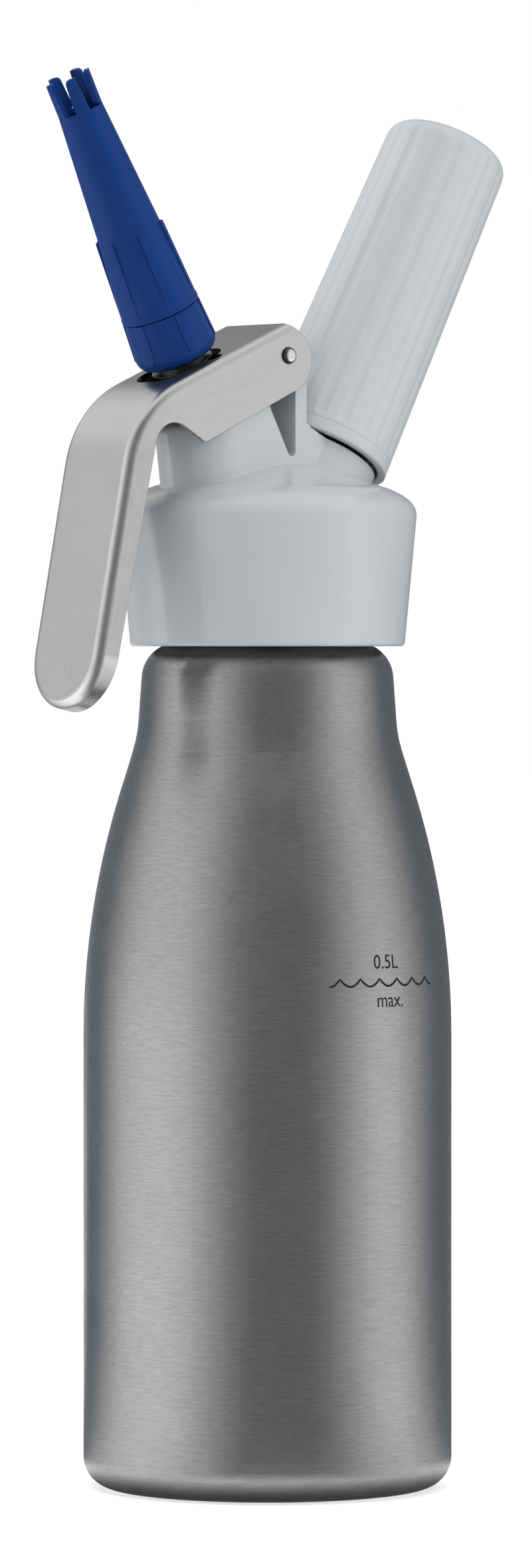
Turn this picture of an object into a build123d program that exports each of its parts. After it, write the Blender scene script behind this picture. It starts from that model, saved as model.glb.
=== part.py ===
from build123d import *
import math
import os

os.makedirs("parts", exist_ok=True)

# Whipped cream dispenser, in millimetres and degrees.
# The origin is the middle of the bottle's base and +Z is up. The lever's handle hangs on the
# -X side, the charger holder leans to +X, and the hinge pin lies along Y.
# "Along" an inclined axis means the distance from that axis's own origin, low on the centre line.

# --- bottle ---
BOTTLE_RADIUS = 40.0
BOTTLE_WALL = 1.0
BASE_EDGE_RADIUS = 6.8
BODY_TOP = 98.0
SHOULDER_RADIUS = 180.0
SHOULDER_TURN = 17.2
CONE_LENGTH = 9.0
THROAT_RADIUS = 30.0
THROAT_TURN = 13.2
COLLAR_LENGTH = 9.5
COLLAR_EDGE_RADIUS = 8.0
NECK_RADIUS = 22.5
LIP_TOP = 199.5
LIP_EDGE = 0.4
BASE_GROOVE = (27.0, 29.0, 0.4)  # inner radius, outer radius, depth

# --- screw thread between bottle and head: rings on both sides, which clear each other ---
NECK_THREAD_CREST = 23.35
NECK_THREAD_START = 187.0
HEAD_BORE_RADIUS = 24.4
HEAD_THREAD_CREST = 23.65
HEAD_THREAD_START = 188.5
NECK_THREAD_PITCH = 3.0
NECK_THREAD_TURNS = 3
THREAD_HALF_WIDTH = 0.75

# --- head: skirt and dome ---
SKIRT_BOTTOM = 182.65
SKIRT_BOTTOM_RADIUS = 29.8
SKIRT_MOUTH_RADIUS = 27.2
SKIRT_MOUTH_TOP = 186.0
SKIRT_TOP = 210.6
SKIRT_TOP_RADIUS = 32.4
SKIRT_EDGE_RADIUS = 0.9
SHOULDER_POINTS = ((30.3, 214.8), (26.0, 217.0))
DOME_FOOT = (19.3, 219.2)
DOME_FOOT_SLOPE = (-0.94, 0.34)
DOME_MIDDLE = (11.0, 222.25)
DOME_TOP = 224.2
CEILING = 202.0

# --- valve axis, leaning towards the lever's handle ---
VALVE_TILT = 26.8
VALVE_ORIGIN_Z = 197.5
VALVE_BORE_RADIUS = 4.6
POPPET_CHAMBER_RADIUS = 7.5
POPPET_SEAT_AT = 12.0
POPPET_RADIUS = 6.2
POPPET_BOTTOM_AT = 8.4
POPPET_TOP_AT = 9.6
STEM_WAIST_RADIUS = 3.4
STEM_RADIUS = 4.0
STEM_BORE_RADIUS = 2.0
STEM_PORT_RADIUS = 1.1
STEM_PORT_AT = 13.5
STEM_WAIST_TOP_AT = 17.0
O_RING_DEPTH = 1.0
O_RING_HEIGHT = 1.6
LOWER_O_RING_AT = 20.0
UPPER_O_RING_AT = 27.0
O_RING_GAP = 0.1
BUSH_RADIUS = 7.0
BUSH_BOTTOM_AT = 33.0
BUSH_CLEARANCE = 0.08
TOWER_TOP_AT = 41.0
SPRING_RADIUS = 5.2
SPRING_WIRE = 0.9
SPRING_TURNS = 3.0
WASHER_RADIUS = 9.2
WASHER_BOTTOM_AT = 48.6
WASHER_TOP_AT = 49.3
WASHER_HUB_RADIUS = 5.0
WASHER_RIM = (7.0, 51.1, 51.7)  # radius, bottom and top of the rim in the lever's opening
CLIP_RADIUS = 5.2
CLIP_TOP_AT = 52.2
STEM_NECK_RADIUS = 3.4
STEM_THREAD_FROM = 53.5
STEM_TOP_AT = 61.0
STEM_THREAD_CREST = 4.3
STEM_THREAD_TURNS = 3

# --- valve tower and hinge post, above the dome ---
TOWER_HALF_WIDTH = 10.85
TOWER_END_FOOT = (-15.5, 217.7)
TOWER_END_TILT = 7.3
TOWER_ROOT_Z = 206.0
PIN_CENTRE = (-3.35, 245.45)
POST_ROUNDING = 4.3
POST_LEFT = -9.0
POST_RIGHT = 2.4
POST_SHOULDER_Z = 231.0
POCKET_APEX = (-0.7, 220.6)
POCKET_APEX_RADIUS = 1.0
POCKET_TOP_Z = 238.6
POCKET_DEPTH = 8.6
TOWER_EDGE_RADIUS = 1.6
CREASE_RADIUS = 0.6

# --- hinge pin ---
PIN_RADIUS = 1.75
PIN_HALF_LENGTH = 13.0
PIN_DOME = 0.9
PIN_PRESS_GAP = 0.01
PIN_RUNNING_GAP = 0.08

# --- lever ---
LEVER_WIDTH = 24.0
LEVER_SHEET = 1.0
LEVER_EDGE_RADIUS = 2.0
PLATE_POINT = (-3.83, 252.23)
PLATE_SLOPE = 24.0
BEND_RADIUS = 24.0
HANDLE_POINT = (-47.7, 216.0)
HANDLE_LEAN = 11.0
HANDLE_LENGTH = 47.3
LOBE_CENTRE = (-4.24, 244.59)
LOBE_RADIUS = 7.18
CHEEK_SLOPE = 25.3
CHEEK_TIP = (-25.9, 226.4)
CHEEK_TIP_RADIUS = 1.3
ARCH_CENTRE = (-34.0, 225.4)
ARCH_RADIUS = 5.1
HANDLE_FLANGE_POINT = (-46.9, 190.25)
PLATE_END_X = -3.3
LEVER_OPENING = (-10.2, 8.6, 7.2, 5.5)  # from, to, half width and corner radius
LEVER_EAR = (3.0, 1.8, 9.6)  # middle, half width and reach to each side

# --- nozzle adapter and decorator nozzle, on the valve axis ---
ADAPTER_BOTTOM_AT = 52.7
ADAPTER_BOTTOM_RADIUS = 9.3
ADAPTER_TOP_RADIUS = 8.45
ADAPTER_EDGE_RADIUS = 3.0
ADAPTER_RIB_HEIGHT = 0.3
ADAPTER_RIB_FROM = 55.4
ADAPTER_RIB_WIDTH = 1.5
ADAPTER_RIB_TURN = 16.0
SEAM_AT = 64.2
ADAPTER_BORE_GAP = 0.25
ADAPTER_BORE_TOP_AT = 62.2
SEAM_GAP = 0.25
SPIGOT_RADIUS = 6.0
SPIGOT_TOP_AT = 71.5
SPIGOT_BORE_RADIUS = 2.4
NOZZLE_BASE_RADIUS = 8.55
NOZZLE_LIP_RADIUS = 8.7
NOZZLE_LIP_HEIGHT = 0.9
NOZZLE_WAIST = (6.98, 84.0)  # radius and place along
NOTCH_AT = 111.8
NOTCH_RADIUS = 4.95
TIP_AT = 119.6
TIP_RADIUS = 5.0
NOZZLE_WALL = 1.1
TINES = 5
TINE_TURN = -120.0
TINE_FOOT_WIDTH = 3.35
TINE_TIP_WIDTH = 2.3
TINE_TIP_RADIUS = 1.1
RIBS = 6
RIB_WIDTH = 2.0
RIB_TURN = 13.0
RIB_TOP_AT = 83.4
RIB_TOP_RADIUS = 7.7
RIB_FOOT_RADIUS = 8.65

# --- charger axis, leaning away from the lever ---
CHARGER_TILT = 27.9
CHARGER_ORIGIN_Z = 197.39
PORT_RADIUS = 13.0
PORT_TOP_AT = 30.5
STUD_RADIUS = 11.0
STUD_ROOT_RADIUS = 10.3
STUD_BOTTOM_AT = 22.0
STUD_TOP_AT = 45.0
STUD_BORE_RADIUS = 4.9
STUD_THREAD_FROM = 33.0
STUD_THREAD_PITCH = 2.4
STUD_THREAD_TURNS = 5
FILTER_RADIUS = 3.6
FILTER_TOP_AT = 24.0
PLUG_TOP_AT = 33.0
NEEDLE_RADIUS = 1.0
NEEDLE_TIP_AT = 37.6
PORT_SEAL_TOP_AT = 34.5
PORT_SEAL_BORE = 1.5
HOLDER_BOTTOM_AT = 31.1
HOLDER_BOTTOM_RADIUS = 15.15
HOLDER_TOP_AT = 109.0
HOLDER_ROOM = 0.6
HOLDER_TOP_RADIUS = 13.69
HOLDER_EDGE_RADIUS = 3.8
HOLDER_MOUTH_RADIUS = 13.4
HOLDER_MOUTH_TOP_AT = 34.0
HOLDER_THREAD_BORE = 11.4
HOLDER_THREAD_TOP_AT = 46.5
HOLDER_BORE_RADIUS = 9.5
HOLDER_BORE_TOP_AT = 104.0
FLUTES = 18
FLUTE_TURN = 2.0
FLUTE_WIDTH = 3.0
FLUTE_DEPTH = 0.35
FLUTE_FROM = 36.2
RING_LINE_AT = 34.1
RING_LINE_SIZE = 0.1
CHARGER_RADIUS = 9.0
CHARGER_NECK_RADIUS = 4.3
CHARGER_NECK_TOP_AT = 46.0
CHARGER_SHOULDER_AT = 53.0
CHARGER_TOP_AT = 101.5
CHARGER_WALL = 1.6
CHARGER_HOLE_RADIUS = 1.35
PAD_RADIUS = 6.0
PAD_GAP = 0.3

# --- gas path between the port and the bottle ---
DUCT_X = 11.5
DUCT_RADIUS = 1.6
FLAP_RADIUS = 3.2
FLAP_THICKNESS = 0.8
STALK_RADIUS = 0.9
STALK_LENGTH = 7.0

# --- neck gasket ---
GASKET_BORE = 20.6
GASKET_RADIUS = 24.1

OVERSHOOT = 20.0  # how far a cutting shape runs past what it cuts
NEAR = 0.01  # distance within which two places count as the same
SQUARE_ON = 0.999  # cosine of the angle between two directions that count as the same
OUTWARD = 0.6  # cosine that tells the lever's skin from its cut ends


# --- planes and axes worked out from the sizes above ---
def inclined(tilt, origin_z, towards):
    """The side plane and the axis of a part that leans by tilt; local x is the radius, y the axis."""
    lean = math.radians(tilt) * towards
    radial = (math.cos(lean), 0, -math.sin(lean))
    upward = (math.sin(lean), 0, math.cos(lean))
    side = Plane(origin=(0, 0, origin_z), x_dir=radial, z_dir=(0, -1, 0))
    return side, Axis((0, 0, origin_z), upward)


VALVE_SIDE, VALVE_AXIS = inclined(VALVE_TILT, VALVE_ORIGIN_Z, -1)
CHARGER_SIDE, CHARGER_AXIS = inclined(CHARGER_TILT, CHARGER_ORIGIN_Z, 1)


def across(axis, side, distance):
    """The plane square to an inclined axis, at a distance along it."""
    return Plane(
        origin=axis.position + axis.direction * distance,
        x_dir=side.x_dir,
        z_dir=axis.direction,
    )


def turned(axis, side, angle):
    """The side plane of an inclined axis, turned about that axis."""
    radial = side.x_dir.rotate(Axis((0, 0, 0), axis.direction), angle)
    return Plane(origin=axis.position, x_dir=radial, z_dir=radial.cross(axis.direction))


def facing(axis, side, angle):
    """A plane through an inclined axis that faces outwards at an angle; local y is along the axis."""
    radial = side.x_dir.rotate(Axis((0, 0, 0), axis.direction), angle)
    return Plane(origin=axis.position, x_dir=axis.direction.cross(radial), z_dir=radial)


def outer_edges(builder, radius):
    """The round edges of a turned piece at one radius."""
    rounds = builder.edges().filter_by(GeomType.CIRCLE)
    return rounds.filter_by(lambda one: abs(one.radius - radius) < NEAR)


def outline(plane, points):
    """A closed face on the plane with straight sides."""
    with BuildSketch(plane) as profile:
        with BuildLine():
            Polyline(points, close=True)
        make_face()
    return profile.sketch


def ring(inner, outer, low, high):
    """The section of a plain ring or disc, for outline."""
    return [(inner, low), (outer, low), (outer, high), (inner, high)]


def ridges(root, crest, start, pitch, turns):
    """Points of a row of thread ridges, from low to high, for one side of a turned section."""
    points = []
    for turn in range(turns):
        middle = start + pitch * turn
        points.append((root, middle - THREAD_HALF_WIDTH))
        points.append((crest, middle - THREAD_HALF_WIDTH / 3))
        points.append((crest, middle + THREAD_HALF_WIDTH / 3))
        points.append((root, middle + THREAD_HALF_WIDTH))
    return points


# --- bottle: a drawn shell with a rolled thread on its neck ---
with BuildPart() as bottle:
    with BuildSketch(Plane.XZ):
        with BuildLine():
            base = Line((0, 0), (BOTTLE_RADIUS, 0))
            body = Line(base @ 1, (BOTTLE_RADIUS, BODY_TOP))
            shoulder = JernArc(body @ 1, body % 1, SHOULDER_RADIUS, SHOULDER_TURN)
            cone = PolarLine(shoulder @ 1, CONE_LENGTH, direction=shoulder % 1)
            throat = JernArc(cone @ 1, cone % 1, THROAT_RADIUS, -THROAT_TURN)
            collar = PolarLine(throat @ 1, COLLAR_LENGTH, direction=throat % 1)
            neck_line = Axis((NECK_RADIUS, 0, 0), (0, 1, 0))
            edge = JernArc(collar @ 1, collar % 1, COLLAR_EDGE_RADIUS, neck_line)
            neck = Line(edge @ 1, (NECK_RADIUS, LIP_TOP))
            Polyline(neck @ 1, (0, LIP_TOP), (0, 0))
        make_face()
    revolve(axis=Axis.Z)
    fillet(bottle.edges().filter_by(GeomType.CIRCLE).sort_by(Axis.Z)[0], BASE_EDGE_RADIUS)
    offset(amount=-BOTTLE_WALL, openings=bottle.faces().sort_by(Axis.Z)[-1])
    thread = ridges(
        NECK_RADIUS, NECK_THREAD_CREST, NECK_THREAD_START, NECK_THREAD_PITCH, NECK_THREAD_TURNS
    )
    inside_wall = NECK_RADIUS - BOTTLE_WALL / 2
    closed = [(inside_wall, thread[0][1])] + thread + [(inside_wall, thread[-1][1])]
    revolve(outline(Plane.XZ, closed), axis=Axis.Z)
    with BuildSketch(Plane.XY):
        Circle(BASE_GROOVE[1])
        Circle(BASE_GROOVE[0], mode=Mode.SUBTRACT)
    extrude(amount=BASE_GROOVE[2], mode=Mode.SUBTRACT)
    chamfer(bottle.edges().filter_by(GeomType.CIRCLE).group_by(Axis.Z)[-1], LIP_EDGE)


# --- neck gasket: lies on the lip, clear of the head's bore ---
with BuildPart() as neck_gasket:
    revolve(outline(Plane.XZ, ring(GASKET_BORE, GASKET_RADIUS, LIP_TOP, CEILING)), axis=Axis.Z)


# --- head body: skirt, dome, tower, hinge post and charger port in one moulding ---
def tower_end_x(z):
    """Where the middle of the tower's round end stands at height z."""
    return TOWER_END_FOOT[0] - (z - TOWER_END_FOOT[1]) * math.tan(math.radians(TOWER_END_TILT))


PORT_AXIS_TOP = CHARGER_AXIS.position + CHARGER_AXIS.direction * PORT_TOP_AT
TOWER_HIGH_Z = PIN_CENTRE[1]
VALVE_UP = VALVE_AXIS.direction

with BuildPart() as head_body:
    # skirt and dome
    with BuildSketch(Plane.XZ):
        with BuildLine():
            rim = Line((0, SKIRT_BOTTOM), (SKIRT_BOTTOM_RADIUS, SKIRT_BOTTOM))
            skirt = Line(rim @ 1, (SKIRT_TOP_RADIUS, SKIRT_TOP))
            brow = Spline(
                skirt @ 1, *SHOULDER_POINTS, DOME_FOOT, tangents=(skirt % 1, DOME_FOOT_SLOPE)
            )
            dome = Spline(
                brow @ 1, DOME_MIDDLE, (0, DOME_TOP), tangents=(brow % 1, (-1, 0))
            )
            Line(dome @ 1, (0, SKIRT_BOTTOM))
        make_face()
    revolve(axis=Axis.Z)
    # the tower's round end, and its flat-sided block up to the hinge post and the port
    end_foot = (tower_end_x(TOWER_ROOT_Z), 0, TOWER_ROOT_Z)
    end_lean = math.radians(TOWER_END_TILT)
    end_direction = (-math.sin(end_lean), 0, math.cos(end_lean))
    with BuildSketch(Plane(origin=end_foot, x_dir=(0, 1, 0), z_dir=end_direction)):
        Circle(TOWER_HALF_WIDTH)
    extrude(amount=TOWER_HIGH_Z - TOWER_ROOT_Z)
    block = [
        (tower_end_x(TOWER_ROOT_Z), TOWER_ROOT_Z),
        (PORT_AXIS_TOP.X, TOWER_ROOT_Z),
        (PORT_AXIS_TOP.X, PORT_AXIS_TOP.Z),
        (POST_RIGHT, POST_SHOULDER_Z),
        (POST_RIGHT, PIN_CENTRE[1]),
        (tower_end_x(TOWER_HIGH_Z), TOWER_HIGH_Z),
    ]
    extrude(outline(Plane.XZ, block), amount=TOWER_HALF_WIDTH, both=True)
    # cut the tower square to the valve axis, and keep the hinge post beside it
    tower_top = across(VALVE_AXIS, VALVE_SIDE, TOWER_TOP_AT)
    corner = tower_top.origin + VALVE_SIDE.x_dir * (
        (POST_LEFT - tower_top.origin.X) / VALVE_SIDE.x_dir.X
    )
    far_left = tower_top.origin - VALVE_SIDE.x_dir * OVERSHOOT
    cut = [
        (corner.X, corner.Z),
        (POST_LEFT, TOWER_HIGH_Z + OVERSHOOT),
        (far_left.X - OVERSHOOT, TOWER_HIGH_Z + OVERSHOOT),
        (far_left.X, far_left.Z),
    ]
    extrude(outline(Plane.XZ, cut), amount=2 * TOWER_HALF_WIDTH, both=True, mode=Mode.SUBTRACT)
    fillet(
        head_body.faces()
        .filter_by(lambda face: face.normal_at().dot(VALVE_UP) > SQUARE_ON)
        .sort_by(Axis.Z)[-1]
        .edges()
        .filter_by(lambda one: one.center().X < POST_LEFT - NEAR),
        TOWER_EDGE_RADIUS,
    )
    # the post's rounded top, clear of the lever's plate as it swings
    with BuildSketch(Plane.XZ):
        with Locations(PIN_CENTRE, (POST_RIGHT - POST_ROUNDING, PIN_CENTRE[1])):
            Circle(POST_ROUNDING)
        top_middle = (PIN_CENTRE[0] + POST_RIGHT - POST_ROUNDING) / 2
        top_span = POST_RIGHT - POST_ROUNDING - PIN_CENTRE[0]
        with Locations((top_middle, PIN_CENTRE[1])):
            Rectangle(top_span, 2 * POST_ROUNDING)
    extrude(amount=TOWER_HALF_WIDTH, both=True)
    # charger port
    with BuildSketch(across(CHARGER_AXIS, CHARGER_SIDE, 0)):
        Circle(PORT_RADIUS)
    extrude(amount=PORT_TOP_AT)
    fillet(
        head_body.edges()
        .filter_by(GeomType.CIRCLE)
        .filter_by(lambda one: abs(one.center().Z - SKIRT_BOTTOM) < NEAR),
        SKIRT_EDGE_RADIUS,
    )
    # room beside the post for the holder's rim
    rim_room = ring(0, HOLDER_BOTTOM_RADIUS + HOLDER_ROOM, PORT_TOP_AT, HOLDER_TOP_AT)
    revolve(outline(CHARGER_SIDE, rim_room), axis=CHARGER_AXIS, mode=Mode.SUBTRACT)
    # wedge pockets between the tower and the post, each with a rounded foot
    apex_rise = POCKET_TOP_Z - POCKET_APEX[1]
    pocket = [
        POCKET_APEX,
        (POCKET_APEX[0], POCKET_TOP_Z),
        (POCKET_APEX[0] + apex_rise * VALVE_UP.X / VALVE_UP.Z, POCKET_TOP_Z),
    ]
    for side in (-1, 1):
        with BuildSketch(Plane.XZ.offset(-side * (TOWER_HALF_WIDTH - POCKET_DEPTH))) as wedge:
            with BuildLine():
                Polyline(pocket, close=True)
            make_face()
            fillet(wedge.vertices().sort_by(Axis.Y)[0], POCKET_APEX_RADIUS)
        extrude(amount=-side * OVERSHOOT, mode=Mode.SUBTRACT)
    # threaded mouth for the bottle's neck, up to the ceiling over the gasket
    thread = ridges(
        HEAD_BORE_RADIUS, HEAD_THREAD_CREST, HEAD_THREAD_START, NECK_THREAD_PITCH, NECK_THREAD_TURNS
    )
    mouth = [
        (0, SKIRT_BOTTOM - OVERSHOOT),
        (SKIRT_MOUTH_RADIUS, SKIRT_BOTTOM - OVERSHOOT),
        (SKIRT_MOUTH_RADIUS, SKIRT_MOUTH_TOP),
        (HEAD_BORE_RADIUS, SKIRT_MOUTH_TOP),
        *thread,
        (HEAD_BORE_RADIUS, CEILING),
        (0, CEILING),
    ]
    revolve(outline(Plane.XZ, mouth), axis=Axis.Z, mode=Mode.SUBTRACT)
    # stepped valve bore
    valve_bore = [
        (0, -OVERSHOOT / 2),
        (POPPET_CHAMBER_RADIUS, -OVERSHOOT / 2),
        (POPPET_CHAMBER_RADIUS, POPPET_SEAT_AT),
        (VALVE_BORE_RADIUS, POPPET_SEAT_AT),
        (VALVE_BORE_RADIUS, BUSH_BOTTOM_AT),
        (BUSH_RADIUS, BUSH_BOTTOM_AT),
        (BUSH_RADIUS, TOWER_TOP_AT + OVERSHOOT),
        (0, TOWER_TOP_AT + OVERSHOOT),
    ]
    revolve(outline(VALVE_SIDE, valve_bore), axis=VALVE_AXIS, mode=Mode.SUBTRACT)
    # bore for the threaded stud, and the gas duct under it
    stud_seat = ring(0, STUD_RADIUS, STUD_BOTTOM_AT, PORT_TOP_AT + OVERSHOOT)
    revolve(outline(CHARGER_SIDE, stud_seat), axis=CHARGER_AXIS, mode=Mode.SUBTRACT)
    with BuildSketch(Plane.XY.offset(CEILING)):
        with Locations((DUCT_X, 0)):
            Circle(DUCT_RADIUS)
    extrude(amount=OVERSHOOT, mode=Mode.SUBTRACT)
    # soft creases where the dome, the tower and the port meet
    dome_edges = head_body.faces().filter_by(GeomType.REVOLUTION).edges()
    flat_sides = head_body.faces().filter_by(
        lambda one: abs(one.normal_at().Y) > SQUARE_ON
        and abs(abs(one.center().Y) - TOWER_HALF_WIDTH) < NEAR
    )
    fillet(
        dome_edges.filter_by(lambda one: one.center().Z > SKIRT_TOP + CREASE_RADIUS)
        + flat_sides.edges().filter_by(
            lambda one: abs(one.tangent_at(0.5).dot(CHARGER_AXIS.direction)) > SQUARE_ON
        ),
        CREASE_RADIUS,
    )
    # bore for the hinge pin
    with BuildSketch(Plane.XZ):
        with Locations(PIN_CENTRE):
            Circle(PIN_RADIUS + PIN_PRESS_GAP)
    extrude(amount=OVERSHOOT, both=True, mode=Mode.SUBTRACT)


# --- hinge pin: a rod with a domed head at each end ---
with BuildPart() as hinge_pin:
    with BuildSketch(Plane.XZ):
        with Locations(PIN_CENTRE):
            Circle(PIN_RADIUS)
    extrude(amount=PIN_HALF_LENGTH, both=True)
    fillet(hinge_pin.edges().filter_by(GeomType.CIRCLE), PIN_DOME)


# --- lever: a pressed channel, deep at the hinge and shallow along the handle ---
SLOPE = math.radians(PLATE_SLOPE)
LEAN = math.radians(HANDLE_LEAN)
PLATE_NORMAL = Vector(-math.sin(SLOPE), 0, math.cos(SLOPE))
UP_PLATE = Vector(math.cos(SLOPE), 0, math.sin(SLOPE))
HANDLE_NORMAL = Vector(-math.cos(LEAN), 0, math.sin(LEAN))
UP_HANDLE = Vector(math.sin(LEAN), 0, math.cos(LEAN))
PLATE_AT = Vector(PLATE_POINT[0], 0, PLATE_POINT[1])
HANDLE_AT = Vector(HANDLE_POINT[0], 0, HANDLE_POINT[1])
TIP_OUT = HANDLE_AT - UP_HANDLE * HANDLE_LENGTH
# where the valve axis comes out through the plate
RISE = (PLATE_AT - VALVE_AXIS.position).dot(PLATE_NORMAL) / VALVE_UP.dot(PLATE_NORMAL)
CROSSING = VALVE_AXIS.position + VALVE_UP * RISE


def bend_corner(inset):
    """Where the plate's line and the handle's line would meet, both moved in by inset."""
    on_plate = PLATE_AT - PLATE_NORMAL * inset
    on_handle = HANDLE_AT - HANDLE_NORMAL * inset
    reach = (on_plate - on_handle).dot(PLATE_NORMAL) / UP_HANDLE.dot(PLATE_NORMAL)
    return on_handle + UP_HANDLE * reach


def pressed_block(inset):
    """A solid block with the lever's outer skin, moved in by inset; twice makes the sheet."""
    corner = bend_corner(inset)
    deep = Vector(1, 0, -1) * OVERSHOOT
    plate_end = corner + UP_PLATE * (3 * OVERSHOOT)
    handle_end = TIP_OUT - (HANDLE_NORMAL - UP_HANDLE) * inset
    half_width = LEVER_WIDTH / 2 - inset
    with BuildPart() as block:
        with BuildSketch(Plane.XZ):
            with BuildLine():
                FilletPolyline(
                    (handle_end.X, handle_end.Z),
                    (corner.X, corner.Z),
                    (plate_end.X, plate_end.Z),
                    radius=BEND_RADIUS - inset,
                )
                Polyline(
                    (plate_end.X, plate_end.Z),
                    ((plate_end + deep * 2).X, (plate_end + deep * 2).Z),
                    ((handle_end + deep * 2).X, (handle_end + deep * 2).Z),
                    (handle_end.X, handle_end.Z),
                )
            make_face()
        extrude(amount=half_width, both=True)
        # round the handle's tip in its own plane
        with BuildSketch(Plane(origin=handle_end, x_dir=(0, -1, 0), z_dir=HANDLE_NORMAL)):
            with Locations((0, half_width / 2 - OVERSHOOT)):
                Rectangle(4 * half_width, half_width + 2 * OVERSHOOT)
            with Locations((0, half_width)):
                Circle(half_width, mode=Mode.SUBTRACT)
        extrude(amount=5 * OVERSHOOT, both=True, mode=Mode.SUBTRACT)
        outward = (PLATE_NORMAL + HANDLE_NORMAL).normalized()
        skin = block.faces().filter_by(lambda face: face.normal_at().dot(outward) > OUTWARD)
        rims = skin.edges().filter_by(
            lambda one: abs(one.tangent_at(0.5).Y) < OUTWARD or one.geom_type != GeomType.LINE
        )
        fillet(rims, LEVER_EDGE_RADIUS - inset)
    return block.part


def touch_point(start, centre, radius, turn):
    """Where a line from start touches a circle, passing it on the side that turn gives."""
    away = Vector(*start) - Vector(*centre)
    swing = turn * math.degrees(math.acos(radius / away.length))
    touch = Vector(*centre) + away.normalized().rotate(Axis.Z, swing) * radius
    return (touch.X, touch.Y)


def lever_outline():
    """The lever's side view: lobe, cheek, arch and the handle's flange."""
    cheek = math.radians(CHEEK_SLOPE)
    lobe_foot = (
        LOBE_CENTRE[0] + LOBE_RADIUS * math.sin(cheek),
        LOBE_CENTRE[1] - LOBE_RADIUS * math.cos(cheek),
    )
    plate_end = PLATE_AT + UP_PLATE * ((PLATE_END_X - PLATE_POINT[0]) / UP_PLATE.X)
    plate_corner = (plate_end.X, plate_end.Z)
    lobe_top = touch_point(plate_corner, LOBE_CENTRE, LOBE_RADIUS, -1)
    arch_left = touch_point(HANDLE_FLANGE_POINT, ARCH_CENTRE, ARCH_RADIUS, -1)
    arch_right = touch_point(CHEEK_TIP, ARCH_CENTRE, ARCH_RADIUS, 1)
    run = Vector(*HANDLE_FLANGE_POINT) - Vector(*arch_left)
    flange_end = Vector(*HANDLE_FLANGE_POINT) + run.normalized() * (2 * OVERSHOOT)
    out = bend_corner(-OVERSHOOT)
    below = TIP_OUT + (HANDLE_NORMAL - UP_HANDLE) * OVERSHOOT
    over_end = plate_end + PLATE_NORMAL * OVERSHOOT
    with BuildSketch(Plane.XZ) as side:
        with BuildLine():
            Polyline(
                plate_corner,
                (over_end.X, over_end.Z),
                (out.X, out.Z),
                (below.X, below.Z),
                (flange_end.X, flange_end.Y),
                arch_left,
                ARCH_CENTRE,
                arch_right,
                CHEEK_TIP,
                lobe_foot,
                LOBE_CENTRE,
                lobe_top,
                close=True,
            )
        make_face()
        fillet(side.vertices().sort_by_distance(CHEEK_TIP)[0], CHEEK_TIP_RADIUS)
        with Locations(LOBE_CENTRE):
            Circle(LOBE_RADIUS)
        with Locations(ARCH_CENTRE):
            Circle(ARCH_RADIUS, mode=Mode.SUBTRACT)
    return side.sketch


with BuildPart() as lever:
    add(pressed_block(0))
    add(pressed_block(LEVER_SHEET), mode=Mode.SUBTRACT)
    extrude(lever_outline(), amount=LEVER_WIDTH, both=True, mode=Mode.INTERSECT)
    # the plate ends over the pin, between the two lobes
    with BuildSketch(Plane.XY.offset(PIN_CENTRE[1])):
        with Locations((PLATE_END_X + OVERSHOOT / 2, 0)):
            Rectangle(OVERSHOOT, LEVER_WIDTH - 2 * LEVER_SHEET)
    extrude(amount=OVERSHOOT, mode=Mode.SUBTRACT)
    # opening round the stem, with an ear to each side
    with BuildSketch(Plane(origin=CROSSING, x_dir=UP_PLATE, z_dir=PLATE_NORMAL)):
        low, high, half, corner_radius = LEVER_OPENING
        with Locations(((low + high) / 2, 0)):
            RectangleRounded(high - low, 2 * half, corner_radius)
        ear_middle, ear_half, ear_reach = LEVER_EAR
        with Locations((ear_middle, 0)):
            SlotOverall(2 * ear_reach, 2 * ear_half, rotation=90)
    extrude(amount=3 * LEVER_SHEET, both=True, mode=Mode.SUBTRACT)
    with BuildSketch(Plane.XZ):
        with Locations(PIN_CENTRE):
            Circle(PIN_RADIUS + PIN_RUNNING_GAP)
    extrude(amount=LEVER_WIDTH, both=True, mode=Mode.SUBTRACT)


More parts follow.
